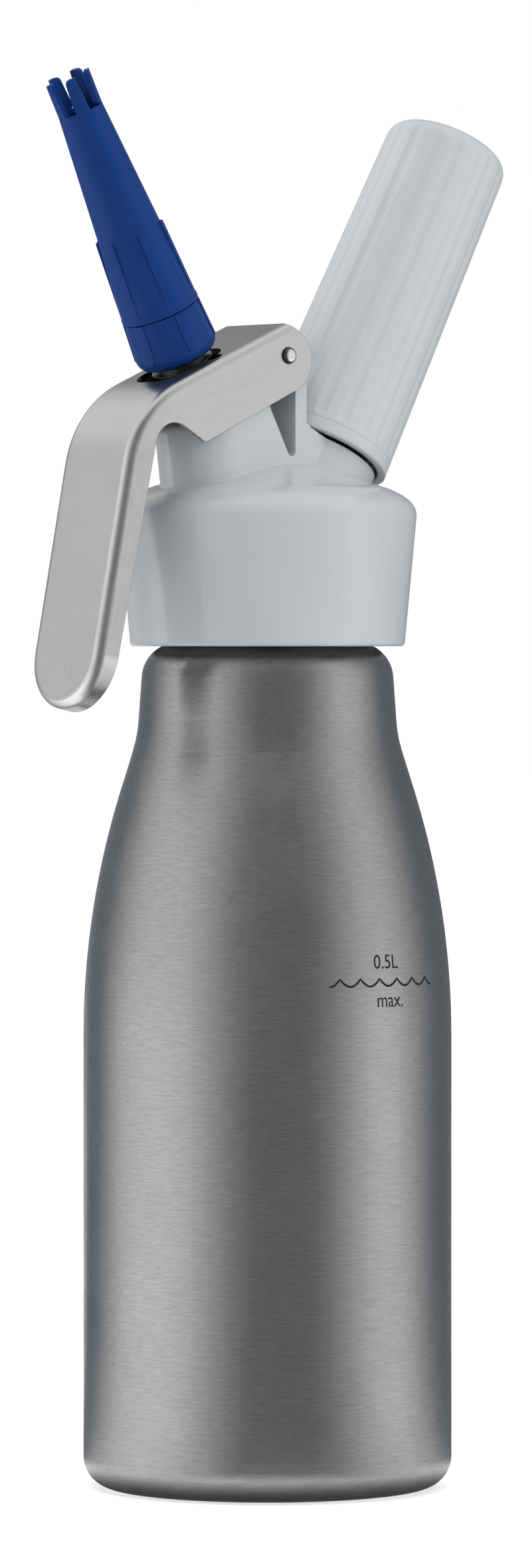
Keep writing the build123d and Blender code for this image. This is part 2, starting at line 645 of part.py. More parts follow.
# --- valve stem: poppet, waist with side ports, O-ring grooves, shoulder and threaded top ---
with BuildPart() as valve_stem:
    groove_radius = STEM_RADIUS - O_RING_DEPTH
    section = [
        (0, POPPET_BOTTOM_AT),
        (POPPET_RADIUS, POPPET_BOTTOM_AT),
        (POPPET_RADIUS, POPPET_TOP_AT),
        (STEM_WAIST_RADIUS, POPPET_TOP_AT),
        (STEM_WAIST_RADIUS, STEM_WAIST_TOP_AT),
        (STEM_RADIUS, STEM_WAIST_TOP_AT),
    ]
    for groove_at in (LOWER_O_RING_AT, UPPER_O_RING_AT):
        section.append((STEM_RADIUS, groove_at))
        section.append((groove_radius, groove_at))
        section.append((groove_radius, groove_at + O_RING_HEIGHT))
        section.append((STEM_RADIUS, groove_at + O_RING_HEIGHT))
    section.append((STEM_RADIUS, WASHER_BOTTOM_AT))
    section.append((STEM_NECK_RADIUS, WASHER_BOTTOM_AT))
    stem_thread_pitch = (STEM_TOP_AT - STEM_THREAD_FROM) / (STEM_THREAD_TURNS + 0.5)
    section += ridges(
        STEM_NECK_RADIUS,
        STEM_THREAD_CREST,
        STEM_THREAD_FROM + stem_thread_pitch / 2,
        stem_thread_pitch,
        STEM_THREAD_TURNS,
    )
    section += [(STEM_NECK_RADIUS, STEM_TOP_AT), (0, STEM_TOP_AT)]
    revolve(outline(VALVE_SIDE, section), axis=VALVE_AXIS)
    bore = ring(0, STEM_BORE_RADIUS, STEM_PORT_AT - STEM_PORT_RADIUS, STEM_TOP_AT)
    revolve(outline(VALVE_SIDE, bore), axis=VALVE_AXIS, mode=Mode.SUBTRACT)
    for angle in (0, 90):
        across_port = turned(VALVE_AXIS, VALVE_SIDE, angle)
        with BuildSketch(across_port):
            with Locations((0, STEM_PORT_AT)):
                Circle(STEM_PORT_RADIUS)
        extrude(amount=2 * STEM_WAIST_RADIUS, both=True, mode=Mode.SUBTRACT)


# --- rubber rings on the stem ---
def stem_o_ring(low):
    """Section of an O-ring in its groove, just clear of the valve bore."""
    inner = STEM_RADIUS - O_RING_DEPTH
    return outline(VALVE_SIDE, ring(inner, VALVE_BORE_RADIUS - O_RING_GAP, low, low + O_RING_HEIGHT))


with BuildPart() as stem_seal_lower:
    revolve(stem_o_ring(LOWER_O_RING_AT), axis=VALVE_AXIS)
    fillet(outer_edges(stem_seal_lower, VALVE_BORE_RADIUS - O_RING_GAP), O_RING_HEIGHT / 3)

with BuildPart() as stem_seal_upper:
    revolve(stem_o_ring(UPPER_O_RING_AT), axis=VALVE_AXIS)
    fillet(outer_edges(stem_seal_upper, VALVE_BORE_RADIUS - O_RING_GAP), O_RING_HEIGHT / 3)

with BuildPart() as poppet_seal:
    seat_ring = ring(STEM_WAIST_RADIUS, POPPET_RADIUS, POPPET_TOP_AT, POPPET_SEAT_AT - O_RING_GAP)
    revolve(outline(VALVE_SIDE, seat_ring), axis=VALVE_AXIS)


# --- guide bush, press washer and clip on the stem ---
with BuildPart() as guide_bush:
    bush = ring(STEM_RADIUS + BUSH_CLEARANCE, BUSH_RADIUS, BUSH_BOTTOM_AT, TOWER_TOP_AT)
    revolve(outline(VALVE_SIDE, bush), axis=VALVE_AXIS)

with BuildPart() as press_washer:
    rim_radius, rim_bottom, rim_top = WASHER_RIM
    washer = [
        (STEM_NECK_RADIUS, WASHER_BOTTOM_AT),
        (WASHER_RADIUS, WASHER_BOTTOM_AT),
        (WASHER_RADIUS, WASHER_TOP_AT),
        (WASHER_HUB_RADIUS, WASHER_TOP_AT),
        (WASHER_HUB_RADIUS, rim_bottom),
        (rim_radius, rim_bottom),
        (rim_radius, rim_top),
        (STEM_NECK_RADIUS, rim_top),
    ]
    revolve(outline(VALVE_SIDE, washer), axis=VALVE_AXIS)
    fillet(outer_edges(press_washer, WASHER_RADIUS), (WASHER_TOP_AT - WASHER_BOTTOM_AT) / 3)
    fillet(outer_edges(press_washer, rim_radius), (rim_top - rim_bottom) / 3)

with BuildPart() as stem_circlip:
    clip = ring(STEM_NECK_RADIUS, CLIP_RADIUS, WASHER_RIM[2], CLIP_TOP_AT)
    revolve(outline(VALVE_SIDE, clip), axis=VALVE_AXIS)


# --- valve spring: open coils between the bush and the washer ---
with BuildPart() as valve_spring:
    spring_low = TOWER_TOP_AT + SPRING_WIRE / 2
    spring_high = WASHER_BOTTOM_AT - SPRING_WIRE / 2
    coils = Helix(
        pitch=(spring_high - spring_low) / SPRING_TURNS,
        height=spring_high - spring_low,
        radius=SPRING_RADIUS,
        center=VALVE_AXIS.position + VALVE_AXIS.direction * spring_low,
        direction=VALVE_AXIS.direction,
    )
    with BuildSketch(Plane(origin=coils @ 0, z_dir=coils % 0)):
        Circle(SPRING_WIRE / 2)
    sweep(path=coils)


# --- nozzle adapter: screws on the stem, with a spigot for the nozzle ---
def ribs_round(section, low, high, width, turn):
    """Six ribs on the valve axis with round ends, cut from the ring that the section turns out."""
    with BuildPart() as slots:
        for index in range(RIBS):
            with BuildSketch(facing(VALVE_AXIS, VALVE_SIDE, turn + index * 360 / RIBS)):
                with Locations((0, (low + high) / 2)):
                    SlotOverall(high - low, width, rotation=90)
            extrude(amount=OVERSHOOT)
    with BuildPart() as ribs:
        revolve(outline(VALVE_SIDE, section), axis=VALVE_AXIS)
        add(slots.part, mode=Mode.INTERSECT)
    return ribs.part


with BuildPart() as nozzle_adapter:
    skirt_section = [
        (0, ADAPTER_BOTTOM_AT),
        (ADAPTER_BOTTOM_RADIUS, ADAPTER_BOTTOM_AT),
        (ADAPTER_TOP_RADIUS, SEAM_AT),
        (0, SEAM_AT),
    ]
    revolve(outline(VALVE_SIDE, skirt_section), axis=VALVE_AXIS)
    fillet(outer_edges(nozzle_adapter, ADAPTER_BOTTOM_RADIUS), ADAPTER_EDGE_RADIUS)
    rib_section = [
        (ADAPTER_TOP_RADIUS / 2, ADAPTER_RIB_FROM),
        (ADAPTER_BOTTOM_RADIUS, ADAPTER_RIB_FROM),
        (ADAPTER_TOP_RADIUS + ADAPTER_RIB_HEIGHT, SEAM_AT),
        (ADAPTER_TOP_RADIUS / 2, SEAM_AT),
    ]
    add(ribs_round(rib_section, ADAPTER_RIB_FROM, SEAM_AT + RIB_WIDTH, ADAPTER_RIB_WIDTH, ADAPTER_RIB_TURN))
    spigot = ring(0, SPIGOT_RADIUS, SEAM_AT, SPIGOT_TOP_AT)
    revolve(outline(VALVE_SIDE, spigot), axis=VALVE_AXIS)
    inside = [
        (0, ADAPTER_BOTTOM_AT),
        (STEM_THREAD_CREST + ADAPTER_BORE_GAP, ADAPTER_BOTTOM_AT),
        (STEM_THREAD_CREST + ADAPTER_BORE_GAP, ADAPTER_BORE_TOP_AT),
        (SPIGOT_BORE_RADIUS, ADAPTER_BORE_TOP_AT),
        (SPIGOT_BORE_RADIUS, SPIGOT_TOP_AT),
        (0, SPIGOT_TOP_AT),
    ]
    revolve(outline(VALVE_SIDE, inside), axis=VALVE_AXIS, mode=Mode.SUBTRACT)

with BuildPart() as nozzle_seal:
    seal = ring(SPIGOT_BORE_RADIUS, STEM_THREAD_CREST, STEM_TOP_AT, ADAPTER_BORE_TOP_AT)
    revolve(outline(VALVE_SIDE, seal), axis=VALVE_AXIS)


# --- decorator nozzle: ribbed cone with a ring of round-tipped tines ---
def tine_blank():
    """A plain disc up to the notches with flat bars over it, for the nozzle to be cut to."""
    with BuildPart() as blank:
        revolve(outline(VALVE_SIDE, ring(0, OVERSHOOT, SEAM_AT, NOTCH_AT)), axis=VALVE_AXIS)
        for index in range(TINES):
            with BuildSketch(facing(VALVE_AXIS, VALVE_SIDE, TINE_TURN + index * 360 / TINES)) as bar:
                with BuildLine():
                    Polyline(
                        (-TINE_FOOT_WIDTH / 2, NOTCH_AT),
                        (-TINE_TIP_WIDTH / 2, TIP_AT),
                        (TINE_TIP_WIDTH / 2, TIP_AT),
                        (TINE_FOOT_WIDTH / 2, NOTCH_AT),
                        close=True,
                    )
                make_face()
                fillet(bar.vertices().sort_by(VALVE_AXIS)[-2:], TINE_TIP_RADIUS)
            extrude(amount=OVERSHOOT)
    return blank.part


with BuildPart() as decorator_nozzle:
    low = SEAM_AT + SEAM_GAP
    lip_top = low + NOZZLE_LIP_HEIGHT
    cone_section = [
        (0, low),
        (NOZZLE_LIP_RADIUS, low),
        (NOZZLE_LIP_RADIUS, lip_top),
        (NOZZLE_BASE_RADIUS, lip_top + NOZZLE_LIP_RADIUS - NOZZLE_BASE_RADIUS),
        NOZZLE_WAIST,
        (NOTCH_RADIUS, NOTCH_AT),
        (TIP_RADIUS, TIP_AT),
        (0, TIP_AT),
    ]
    revolve(outline(VALVE_SIDE, cone_section), axis=VALVE_AXIS)
    rib_section = [
        (NOTCH_RADIUS, low),
        (RIB_FOOT_RADIUS, low),
        (RIB_TOP_RADIUS, RIB_TOP_AT - RIB_WIDTH / 4),
        (NOZZLE_WAIST[0], RIB_TOP_AT),
        (NOTCH_RADIUS, RIB_TOP_AT),
    ]
    add(ribs_round(rib_section, low - RIB_WIDTH, RIB_TOP_AT, RIB_WIDTH, RIB_TURN))
    hollow = [
        (0, low),
        (SPIGOT_RADIUS + SEAM_GAP, low),
        (SPIGOT_RADIUS + SEAM_GAP, SPIGOT_TOP_AT + SEAM_GAP),
        (NOZZLE_WAIST[0] - NOZZLE_WALL, NOZZLE_WAIST[1]),
        (NOTCH_RADIUS - NOZZLE_WALL, NOTCH_AT),
        (TIP_RADIUS - NOZZLE_WALL, TIP_AT),
        (0, TIP_AT),
    ]
    revolve(outline(VALVE_SIDE, hollow), axis=VALVE_AXIS, mode=Mode.SUBTRACT)
    add(tine_blank(), mode=Mode.INTERSECT)


# --- charger port: threaded stud, filter, piercing pin and seal ---
with BuildPart() as charger_port_stud:
    stud_thread = ridges(
        STUD_ROOT_RADIUS, STUD_RADIUS, STUD_THREAD_FROM, STUD_THREAD_PITCH, STUD_THREAD_TURNS
    )
    stud = [
        (0, STUD_BOTTOM_AT),
        (STUD_RADIUS, STUD_BOTTOM_AT),
        (STUD_RADIUS, PORT_TOP_AT),
        (STUD_ROOT_RADIUS, PORT_TOP_AT),
        *stud_thread,
        (STUD_ROOT_RADIUS, STUD_TOP_AT),
        (0, STUD_TOP_AT),
    ]
    revolve(outline(CHARGER_SIDE, stud), axis=CHARGER_AXIS)
    through = [
        (0, STUD_BOTTOM_AT),
        (FILTER_RADIUS, STUD_BOTTOM_AT),
        (FILTER_RADIUS, FILTER_TOP_AT),
        (STUD_BORE_RADIUS, FILTER_TOP_AT),
        (STUD_BORE_RADIUS, STUD_TOP_AT),
        (0, STUD_TOP_AT),
    ]
    revolve(outline(CHARGER_SIDE, through), axis=CHARGER_AXIS, mode=Mode.SUBTRACT)

with BuildPart() as gas_filter:
    disc = ring(0, FILTER_RADIUS, STUD_BOTTOM_AT, FILTER_TOP_AT)
    revolve(outline(CHARGER_SIDE, disc), axis=CHARGER_AXIS)

with BuildPart() as piercing_pin:
    needle_bore = NEEDLE_RADIUS / 3
    pin_section = [
        (needle_bore, FILTER_TOP_AT),
        (STUD_BORE_RADIUS, FILTER_TOP_AT),
        (STUD_BORE_RADIUS, PLUG_TOP_AT),
        (NEEDLE_RADIUS, PLUG_TOP_AT),
        (NEEDLE_RADIUS, NEEDLE_TIP_AT - 2 * NEEDLE_RADIUS),
        (needle_bore, NEEDLE_TIP_AT),
    ]
    revolve(outline(CHARGER_SIDE, pin_section), axis=CHARGER_AXIS)

with BuildPart() as port_seal:
    washer = ring(PORT_SEAL_BORE, STUD_BORE_RADIUS, PLUG_TOP_AT, PORT_SEAL_TOP_AT)
    revolve(outline(CHARGER_SIDE, washer), axis=CHARGER_AXIS)


# --- gas charger: pierced steel bulb ---
with BuildPart() as gas_charger:
    inner_neck = CHARGER_NECK_RADIUS - CHARGER_WALL
    bulb = [
        (CHARGER_HOLE_RADIUS, PORT_SEAL_TOP_AT),
        (CHARGER_NECK_RADIUS, PORT_SEAL_TOP_AT),
        (CHARGER_NECK_RADIUS, CHARGER_NECK_TOP_AT),
        (CHARGER_RADIUS, CHARGER_SHOULDER_AT),
        (CHARGER_RADIUS, CHARGER_TOP_AT),
        (0, CHARGER_TOP_AT),
        (0, CHARGER_TOP_AT - CHARGER_WALL),
        (CHARGER_RADIUS - CHARGER_WALL, CHARGER_TOP_AT - CHARGER_RADIUS),
        (CHARGER_RADIUS - CHARGER_WALL, CHARGER_SHOULDER_AT + CHARGER_WALL / 2),
        (inner_neck, CHARGER_NECK_TOP_AT + CHARGER_WALL / 2),
        (inner_neck, PORT_SEAL_TOP_AT + CHARGER_WALL),
        (CHARGER_HOLE_RADIUS, PORT_SEAL_TOP_AT + CHARGER_WALL),
    ]
    revolve(outline(CHARGER_SIDE, bulb), axis=CHARGER_AXIS)
    fillet(outer_edges(gas_charger, CHARGER_RADIUS), CHARGER_WALL)


# --- charger holder: fluted sleeve with a closed end ---
with BuildPart() as charger_holder:
    sleeve = [
        (0, HOLDER_BOTTOM_AT),
        (HOLDER_BOTTOM_RADIUS, HOLDER_BOTTOM_AT),
        (HOLDER_TOP_RADIUS, HOLDER_TOP_AT),
        (0, HOLDER_TOP_AT),
    ]
    revolve(outline(CHARGER_SIDE, sleeve), axis=CHARGER_AXIS)
    fillet(outer_edges(charger_holder, HOLDER_TOP_RADIUS), HOLDER_EDGE_RADIUS)
    socket = [
        (0, HOLDER_BOTTOM_AT),
        (HOLDER_MOUTH_RADIUS, HOLDER_BOTTOM_AT),
        (HOLDER_MOUTH_RADIUS, HOLDER_MOUTH_TOP_AT),
        (HOLDER_THREAD_BORE, HOLDER_MOUTH_TOP_AT),
        (HOLDER_THREAD_BORE, HOLDER_THREAD_TOP_AT),
        (HOLDER_BORE_RADIUS, HOLDER_THREAD_TOP_AT),
        (HOLDER_BORE_RADIUS, HOLDER_BORE_TOP_AT),
        (0, HOLDER_BORE_TOP_AT),
    ]
    revolve(outline(CHARGER_SIDE, socket), axis=CHARGER_AXIS, mode=Mode.SUBTRACT)
    # shallow flutes that follow the taper, each with a rounded lower end
    cutter_radius = FLUTE_WIDTH**2 / (8 * FLUTE_DEPTH) + FLUTE_DEPTH / 2
    taper = (HOLDER_BOTTOM_RADIUS - HOLDER_TOP_RADIUS) / (HOLDER_TOP_AT - HOLDER_BOTTOM_AT)
    start_radius = HOLDER_BOTTOM_RADIUS - taper * (FLUTE_FROM - HOLDER_BOTTOM_AT)
    reach = start_radius + cutter_radius - FLUTE_DEPTH
    for index in range(FLUTES):
        side = turned(CHARGER_AXIS, CHARGER_SIDE, FLUTE_TURN + index * 360 / FLUTES)
        start = side.from_local_coords(Vector(reach, FLUTE_FROM, 0))
        end = side.from_local_coords(Vector(reach - taper * FLUTE_WIDTH, FLUTE_FROM + FLUTE_WIDTH, 0))
        with BuildSketch(Plane(origin=start, z_dir=end - start)):
            Circle(cutter_radius)
        extrude(amount=4 * OVERSHOOT, mode=Mode.SUBTRACT)
        with Locations(start):
            Sphere(cutter_radius, mode=Mode.SUBTRACT)
    line = [
        (HOLDER_BOTTOM_RADIUS - taper * (RING_LINE_AT - HOLDER_BOTTOM_AT) - RING_LINE_SIZE, RING_LINE_AT),
        (HOLDER_BOTTOM_RADIUS + FLUTE_DEPTH, RING_LINE_AT - RING_LINE_SIZE),
        (HOLDER_BOTTOM_RADIUS + FLUTE_DEPTH, RING_LINE_AT + RING_LINE_SIZE),
    ]
    revolve(outline(CHARGER_SIDE, line), axis=CHARGER_AXIS, mode=Mode.SUBTRACT)

with BuildPart() as holder_pad:
    pad = ring(0, PAD_RADIUS, CHARGER_TOP_AT + PAD_GAP, HOLDER_BORE_TOP_AT)
    revolve(outline(CHARGER_SIDE, pad), axis=CHARGER_AXIS)


# --- gas check valve: rubber umbrella with its stalk in the duct ---
with BuildPart() as gas_check_valve:
    with BuildSketch(Plane.XY.offset(CEILING - FLAP_THICKNESS)):
        with Locations((DUCT_X, 0)):
            Circle(FLAP_RADIUS)
    extrude(amount=FLAP_THICKNESS)
    with BuildSketch(Plane.XY.offset(CEILING)):
        with Locations((DUCT_X, 0)):
            Circle(STALK_RADIUS)
    extrude(amount=STALK_LENGTH)


PIECES = {
    "bottle": bottle,
    "neck_gasket": neck_gasket,
    "head_body": head_body,
    "hinge_pin": hinge_pin,
    "lever": lever,
    "valve_stem": valve_stem,
    "stem_seal_lower": stem_seal_lower,
    "stem_seal_upper": stem_seal_upper,
    "poppet_seal": poppet_seal,
    "guide_bush": guide_bush,
    "press_washer": press_washer,
    "stem_circlip": stem_circlip,
    "valve_spring": valve_spring,
    "nozzle_adapter": nozzle_adapter,
    "nozzle_seal": nozzle_seal,
    "decorator_nozzle": decorator_nozzle,
    "charger_port_stud": charger_port_stud,
    "gas_filter": gas_filter,
    "piercing_pin": piercing_pin,
    "port_seal": port_seal,
    "gas_charger": gas_charger,
    "charger_holder": charger_holder,
    "holder_pad": holder_pad,
    "gas_check_valve": gas_check_valve,
}

for name, piece in PIECES.items():
    piece.part.label = name
    export_step(piece.part, f"parts/{name}.step")
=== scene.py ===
"""Whipped cream dispenser: finishes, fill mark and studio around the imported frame."""

import math

import bmesh
import bpy
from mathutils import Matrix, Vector


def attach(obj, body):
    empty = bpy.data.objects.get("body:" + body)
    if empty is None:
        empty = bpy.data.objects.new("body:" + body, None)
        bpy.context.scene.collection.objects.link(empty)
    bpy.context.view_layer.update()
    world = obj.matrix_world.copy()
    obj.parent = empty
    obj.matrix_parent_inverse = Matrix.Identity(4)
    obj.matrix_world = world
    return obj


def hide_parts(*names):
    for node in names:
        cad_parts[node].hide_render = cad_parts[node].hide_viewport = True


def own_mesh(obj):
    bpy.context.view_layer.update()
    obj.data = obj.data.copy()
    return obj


bl_info = {
    "name": "Whipped Cream Dispenser",
    "version": (1, 0, 0),
    "blender": (4, 5, 0),
    "location": "View3D > Sidebar > Dispenser",
    "description": "Dresses the dispenser's packed frame and sets up its studio",
    "category": "Object",
}

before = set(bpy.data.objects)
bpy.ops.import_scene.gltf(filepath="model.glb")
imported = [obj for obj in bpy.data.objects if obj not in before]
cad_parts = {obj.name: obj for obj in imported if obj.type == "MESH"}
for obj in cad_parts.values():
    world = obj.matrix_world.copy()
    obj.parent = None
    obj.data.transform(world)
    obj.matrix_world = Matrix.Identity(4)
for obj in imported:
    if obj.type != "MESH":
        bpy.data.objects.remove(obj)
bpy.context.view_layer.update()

FLOAT, VECTOR = "NodeSocketFloat", "NodeSocketVector"

# Each node's finish, by the slot name that the frame gives it.
SLOT_OF = {name: item.data.materials[0].name for name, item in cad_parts.items()}
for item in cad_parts.values():
    item.data.materials.clear()
for slot in set(SLOT_OF.values()):
    bpy.data.materials.remove(bpy.data.materials[slot])

# The bottle's radius, and its radius where the fill mark lies.
BOTTLE_RADIUS = 0.04
MARK_RADIUS = 0.0396

# The lever's bend, seen from the side: its centre and radius, and where its two flat runs face.
BEND_CENTRE = Vector((-0.02297, 0.0, 0.21744))
BEND_RADIUS = 0.024
PLATE_FACES = math.radians(114.0)
HANDLE_FACES = math.radians(169.0)
BEND_MIDDLE = (PLATE_FACES + HANDLE_FACES) / 2

# The darkest and lightest brush stroke, as shares of the steel's colour. The grip's pair is lifted,
# a painted highlight, and the top plate's is lowered, a painted shade.
BOTTLE_SHADES = (0.84, 1.14)
CHEEK_SHADES = (0.95, 1.04)
GRIP_PAINTED_HIGHLIGHT = (1.14, 1.25)
PLATE_PAINTED_SHADE = (0.55, 0.66)
SMALL_METAL_SHADES = (0.88, 1.06)
# How much lighter a lightened edge is: partly wear, partly a painted edge highlight.
WEAR_AND_SHEEN_SHADE = 1.2

# Colour and roughness of the small metal parts. The valve and spring steel are far darker than
# steel, a painted shade, as they are seen in shadow inside the head and the charger port.
SMALL_METALS = {
    "valve_steel": ((0.16, 0.16, 0.16), 0.3),
    "spring_steel": ((0.14, 0.14, 0.14), 0.25),
    "charger_steel": ((0.58, 0.58, 0.58), 0.3),
    "brass": ((0.70, 0.50, 0.22), 0.25),
}

# The hinge pin's middle, the radius of its face left unshaded, and how far out from it the painted
# shade on the rim comes in.
PIN_CENTRE = Vector((-0.00335, 0.0, 0.24545))
PIN_FACE = 0.00112
PIN_RIM = 0.0004

# The fill mark's wave line: how many waves, the steps of one wave, and how sharp its crests are.
WAVES = 6
WAVE_STEPS = 16
CREST_POWER = 0.9

# The point that the softboxes face, and the floor's reach and glow.
AIM = Vector((0.0, 0.0, 0.16))
FLOOR_RADIUS = 9.0
FLOOR_GLOW = 0.55

# The dark cards: how high and how near they lie on the floor, and the wall that they go up.
CARD_LEVEL = 0.0015
CARD_START = 0.05
CARD_WALL = 2.3
CARD_TOP = 3.0
CARD_STEPS = 24

# The dark ring round the bottle's foot: its height, its inner radius, and where it starts to fade.
RING_LEVEL = 0.0003
RING_START = 0.035
RING_FADE = 0.036


# ---------------------------------------------------------------- settings
class DispenserSteel(bpy.types.PropertyGroup):
    """Finish of the bottle, the lever and the small steel parts."""

    bottle: bpy.props.FloatVectorProperty(
        name="Bottle steel",
        description="Colour of the bottle's steel",
        default=(0.375, 0.375, 0.37),
        subtype="COLOR",
    )
    bottle_roughness: bpy.props.FloatProperty(
        name="Bottle roughness",
        description="Blur of the bottle's reflections",
        default=0.33,
        subtype="FACTOR",
    )
    bottle_stroke: bpy.props.FloatProperty(
        name="Bottle stroke",
        description="Length of one brush stroke round the bottle",
        default=0.0024,
        unit="LENGTH",
    )
    lever: bpy.props.FloatVectorProperty(
        name="Lever steel",
        description="Colour of the lever's steel",
        default=(0.55, 0.55, 0.547),
        subtype="COLOR",
    )
    lever_roughness: bpy.props.FloatProperty(
        name="Lever roughness",
        description="Blur of the lever's reflections",
        default=0.3,
        subtype="FACTOR",
    )
    lever_stroke: bpy.props.FloatProperty(
        name="Lever stroke",
        description="Length of one brush stroke along the lever",
        default=0.0035,
        unit="LENGTH",
    )
    stroke_pitch: bpy.props.FloatProperty(
        name="Stroke pitch",
        description="Distance from one brush stroke to the next",
        default=0.00017,
        unit="LENGTH",
    )
    polished: bpy.props.FloatVectorProperty(
        name="Polished steel",
        description="Colour of the hinge pin and the press washer",
        default=(0.72, 0.715, 0.70),
        subtype="COLOR",
    )


class DispenserPlastic(bpy.types.PropertyGroup):
    """Colours of the mouldings and the rubber parts."""

    head: bpy.props.FloatVectorProperty(
        name="Head grey",
        description="Colour of the head moulding",
        default=(0.52, 0.546, 0.565),
        subtype="COLOR",
    )
    head_roughness: bpy.props.FloatProperty(
        name="Head roughness",
        description="Blur of the head's gloss",
        default=0.17,
        subtype="FACTOR",
    )
    holder: bpy.props.FloatVectorProperty(
        name="Holder grey",
        description="Colour of the charger holder",
        default=(0.535, 0.564, 0.582),
        subtype="COLOR",
    )
    holder_roughness: bpy.props.FloatProperty(
        name="Holder roughness",
        description="Blur of the holder's gloss",
        default=0.36,
        subtype="FACTOR",
    )
    nozzle: bpy.props.FloatVectorProperty(
        name="Nozzle blue",
        description="Colour of the decorator nozzle and its adapter",
        default=(0.005, 0.038, 0.19),
        subtype="COLOR",
    )
    nozzle_roughness: bpy.props.FloatProperty(
        name="Nozzle roughness",
        description="Blur of the blue parts' gloss",
        default=0.4,
        subtype="FACTOR",
    )
    rubber: bpy.props.FloatVectorProperty(
        name="Seal rubber",
        description="Colour of the black seals",
        default=(0.02, 0.02, 0.022),
        subtype="COLOR",
    )
    silicone: bpy.props.FloatVectorProperty(
        name="Pale silicone",
        description="Colour of the gasket and the check valve",
        default=(0.55, 0.56, 0.56),
        subtype="COLOR",
    )


class DispenserMark(bpy.types.PropertyGroup):
    """The fill mark printed on the bottle."""

    ink: bpy.props.FloatVectorProperty(
        name="Mark ink",
        description="Colour of the fill mark",
        default=(0.008, 0.008, 0.009),
        subtype="COLOR",
    )
    bearing: bpy.props.FloatProperty(
        name="Mark bearing",
        description="Direction in which the middle of the mark faces, counted from +X",
        default=math.radians(-86.65),
        subtype="ANGLE",
    )
    level: bpy.props.FloatProperty(
        name="Fill level",
        description="Height of the wave line's troughs above the base",
        default=0.1101,
        unit="LENGTH",
    )
    pitch: bpy.props.FloatProperty(
        name="Wave pitch",
        description="Length of one wave of the line",
        default=0.00493,
        unit="LENGTH",
    )
    crest: bpy.props.FloatProperty(
        name="Wave height",
        description="Height of the crests over the troughs",
        default=0.0016,
        unit="LENGTH",
    )
    stroke: bpy.props.FloatProperty(
        name="Line width", description="Width of the wave line", default=0.00046, unit="LENGTH"
    )
    lift: bpy.props.FloatProperty(
        name="Print thickness",
        description="How far the print stands off the steel",
        default=0.00003,
        unit="LENGTH",
    )


class DispenserStudio(bpy.types.PropertyGroup):
    """Camera, lamps, flags and floor."""

    azimuth: bpy.props.FloatProperty(
        name="Camera azimuth",
        description="Side from which the camera looks, counted from -Y towards +X",
        default=math.radians(-37.5),
        subtype="ANGLE",
    )
    stand_off: bpy.props.FloatProperty(
        name="Camera distance",
        description="Distance from the camera to the bottle's axis",
        default=1.717,
        unit="LENGTH",
    )
    eye: bpy.props.FloatProperty(
        name="Camera height",
        description="Height of the camera over the floor",
        default=0.1846,
        unit="LENGTH",
    )
    lens: bpy.props.FloatProperty(
        name="Lens",
        description="Focal length for a picture 36 mm high",
        default=181.27,
        unit="CAMERA",
    )
    fill: bpy.props.FloatProperty(
        name="Fill light",
        description="Strength of the even light from all round",
        default=0.54,
        subtype="FACTOR",
    )
    key: bpy.props.FloatProperty(
        name="Left softbox",
        description="Power of the softbox left of the camera",
        default=13.0,
        unit="POWER",
    )
    side: bpy.props.FloatProperty(
        name="Right softbox",
        description="Power of the softbox right of the camera",
        default=6.0,
        unit="POWER",
    )
    front: bpy.props.FloatProperty(
        name="Front softbox",
        description="Power of the softbox beside the camera",
        default=4.5,
        unit="POWER",
    )
    top: bpy.props.FloatProperty(
        name="Top softbox", description="Power of the softbox overhead", default=8.0, unit="POWER"
    )
    floor: bpy.props.FloatVectorProperty(
        name="Floor", description="Colour of the floor", default=(0.86, 0.86, 0.86), subtype="COLOR"
    )


SETTINGS = {
    "dispenser_steel": DispenserSteel,
    "dispenser_plastic": DispenserPlastic,
    "dispenser_mark": DispenserMark,
    "dispenser_studio": DispenserStudio,
}


# ---------------------------------------------------------------- node helpers
def feed(tree, value, socket):
    """Links a socket to an input, or sets the input to a plain value."""
    if isinstance(value, bpy.types.NodeSocket):
        tree.links.new(value, socket)
    elif value is not None:
        socket.default_value = value


def put(tree, kind, inputs=(), **settings):
    """A node with its settings, and its inputs given by name or number."""
    made = tree.nodes.new(kind)
    for key, value in settings.items():
        setattr(made, key, value)
    for key, value in dict(inputs).items():
        feed(tree, value, made.inputs[key])
    return made


def maths(tree, operation, first, second=None, third=None):
    """A Math node's result."""
    values = {0: first, 1: second, 2: third}
    return put(tree, "ShaderNodeMath", values, operation=operation).outputs[0]


def vector_maths(tree, operation, first, second=None):
    """A Vector Math node's outputs."""
    return put(tree, "ShaderNodeVectorMath", {0: first, 1: second}, operation=operation).outputs


def spread(tree, value, low, high, to_low, to_high):
    """A value moved smoothly from one range to another."""
    ranges = {"Value": value, 1: low, 2: high, 3: to_low, 4: to_high}
    return put(tree, "ShaderNodeMapRange", ranges, interpolation_type="SMOOTHSTEP").outputs[0]


def vector(tree, x, y, z):
    """A vector put together from three values."""
    return put(tree, "ShaderNodeCombineXYZ", {0: x, 1: y, 2: z}).outputs[0]


def noise(tree, place, scale, detail=2.0, roughness=0.5):
    """A Noise Texture's value."""
    inputs = {"Vector": place, "Scale": scale, "Detail": detail, "Roughness": roughness}
    return put(tree, "ShaderNodeTexNoise", inputs).outputs[0]


def object_place(tree):
    """The place on the object, in metres, as one socket."""
    return tree.nodes.new("ShaderNodeTexCoord").outputs["Object"]


def split(tree, place):
    """The three parts of a place."""
    return put(tree, "ShaderNodeSeparateXYZ", {0: place}).outputs


def shade(base, factor):
    """A colour made lighter or darker."""
    return tuple(min(1.0, part * factor) for part in base)


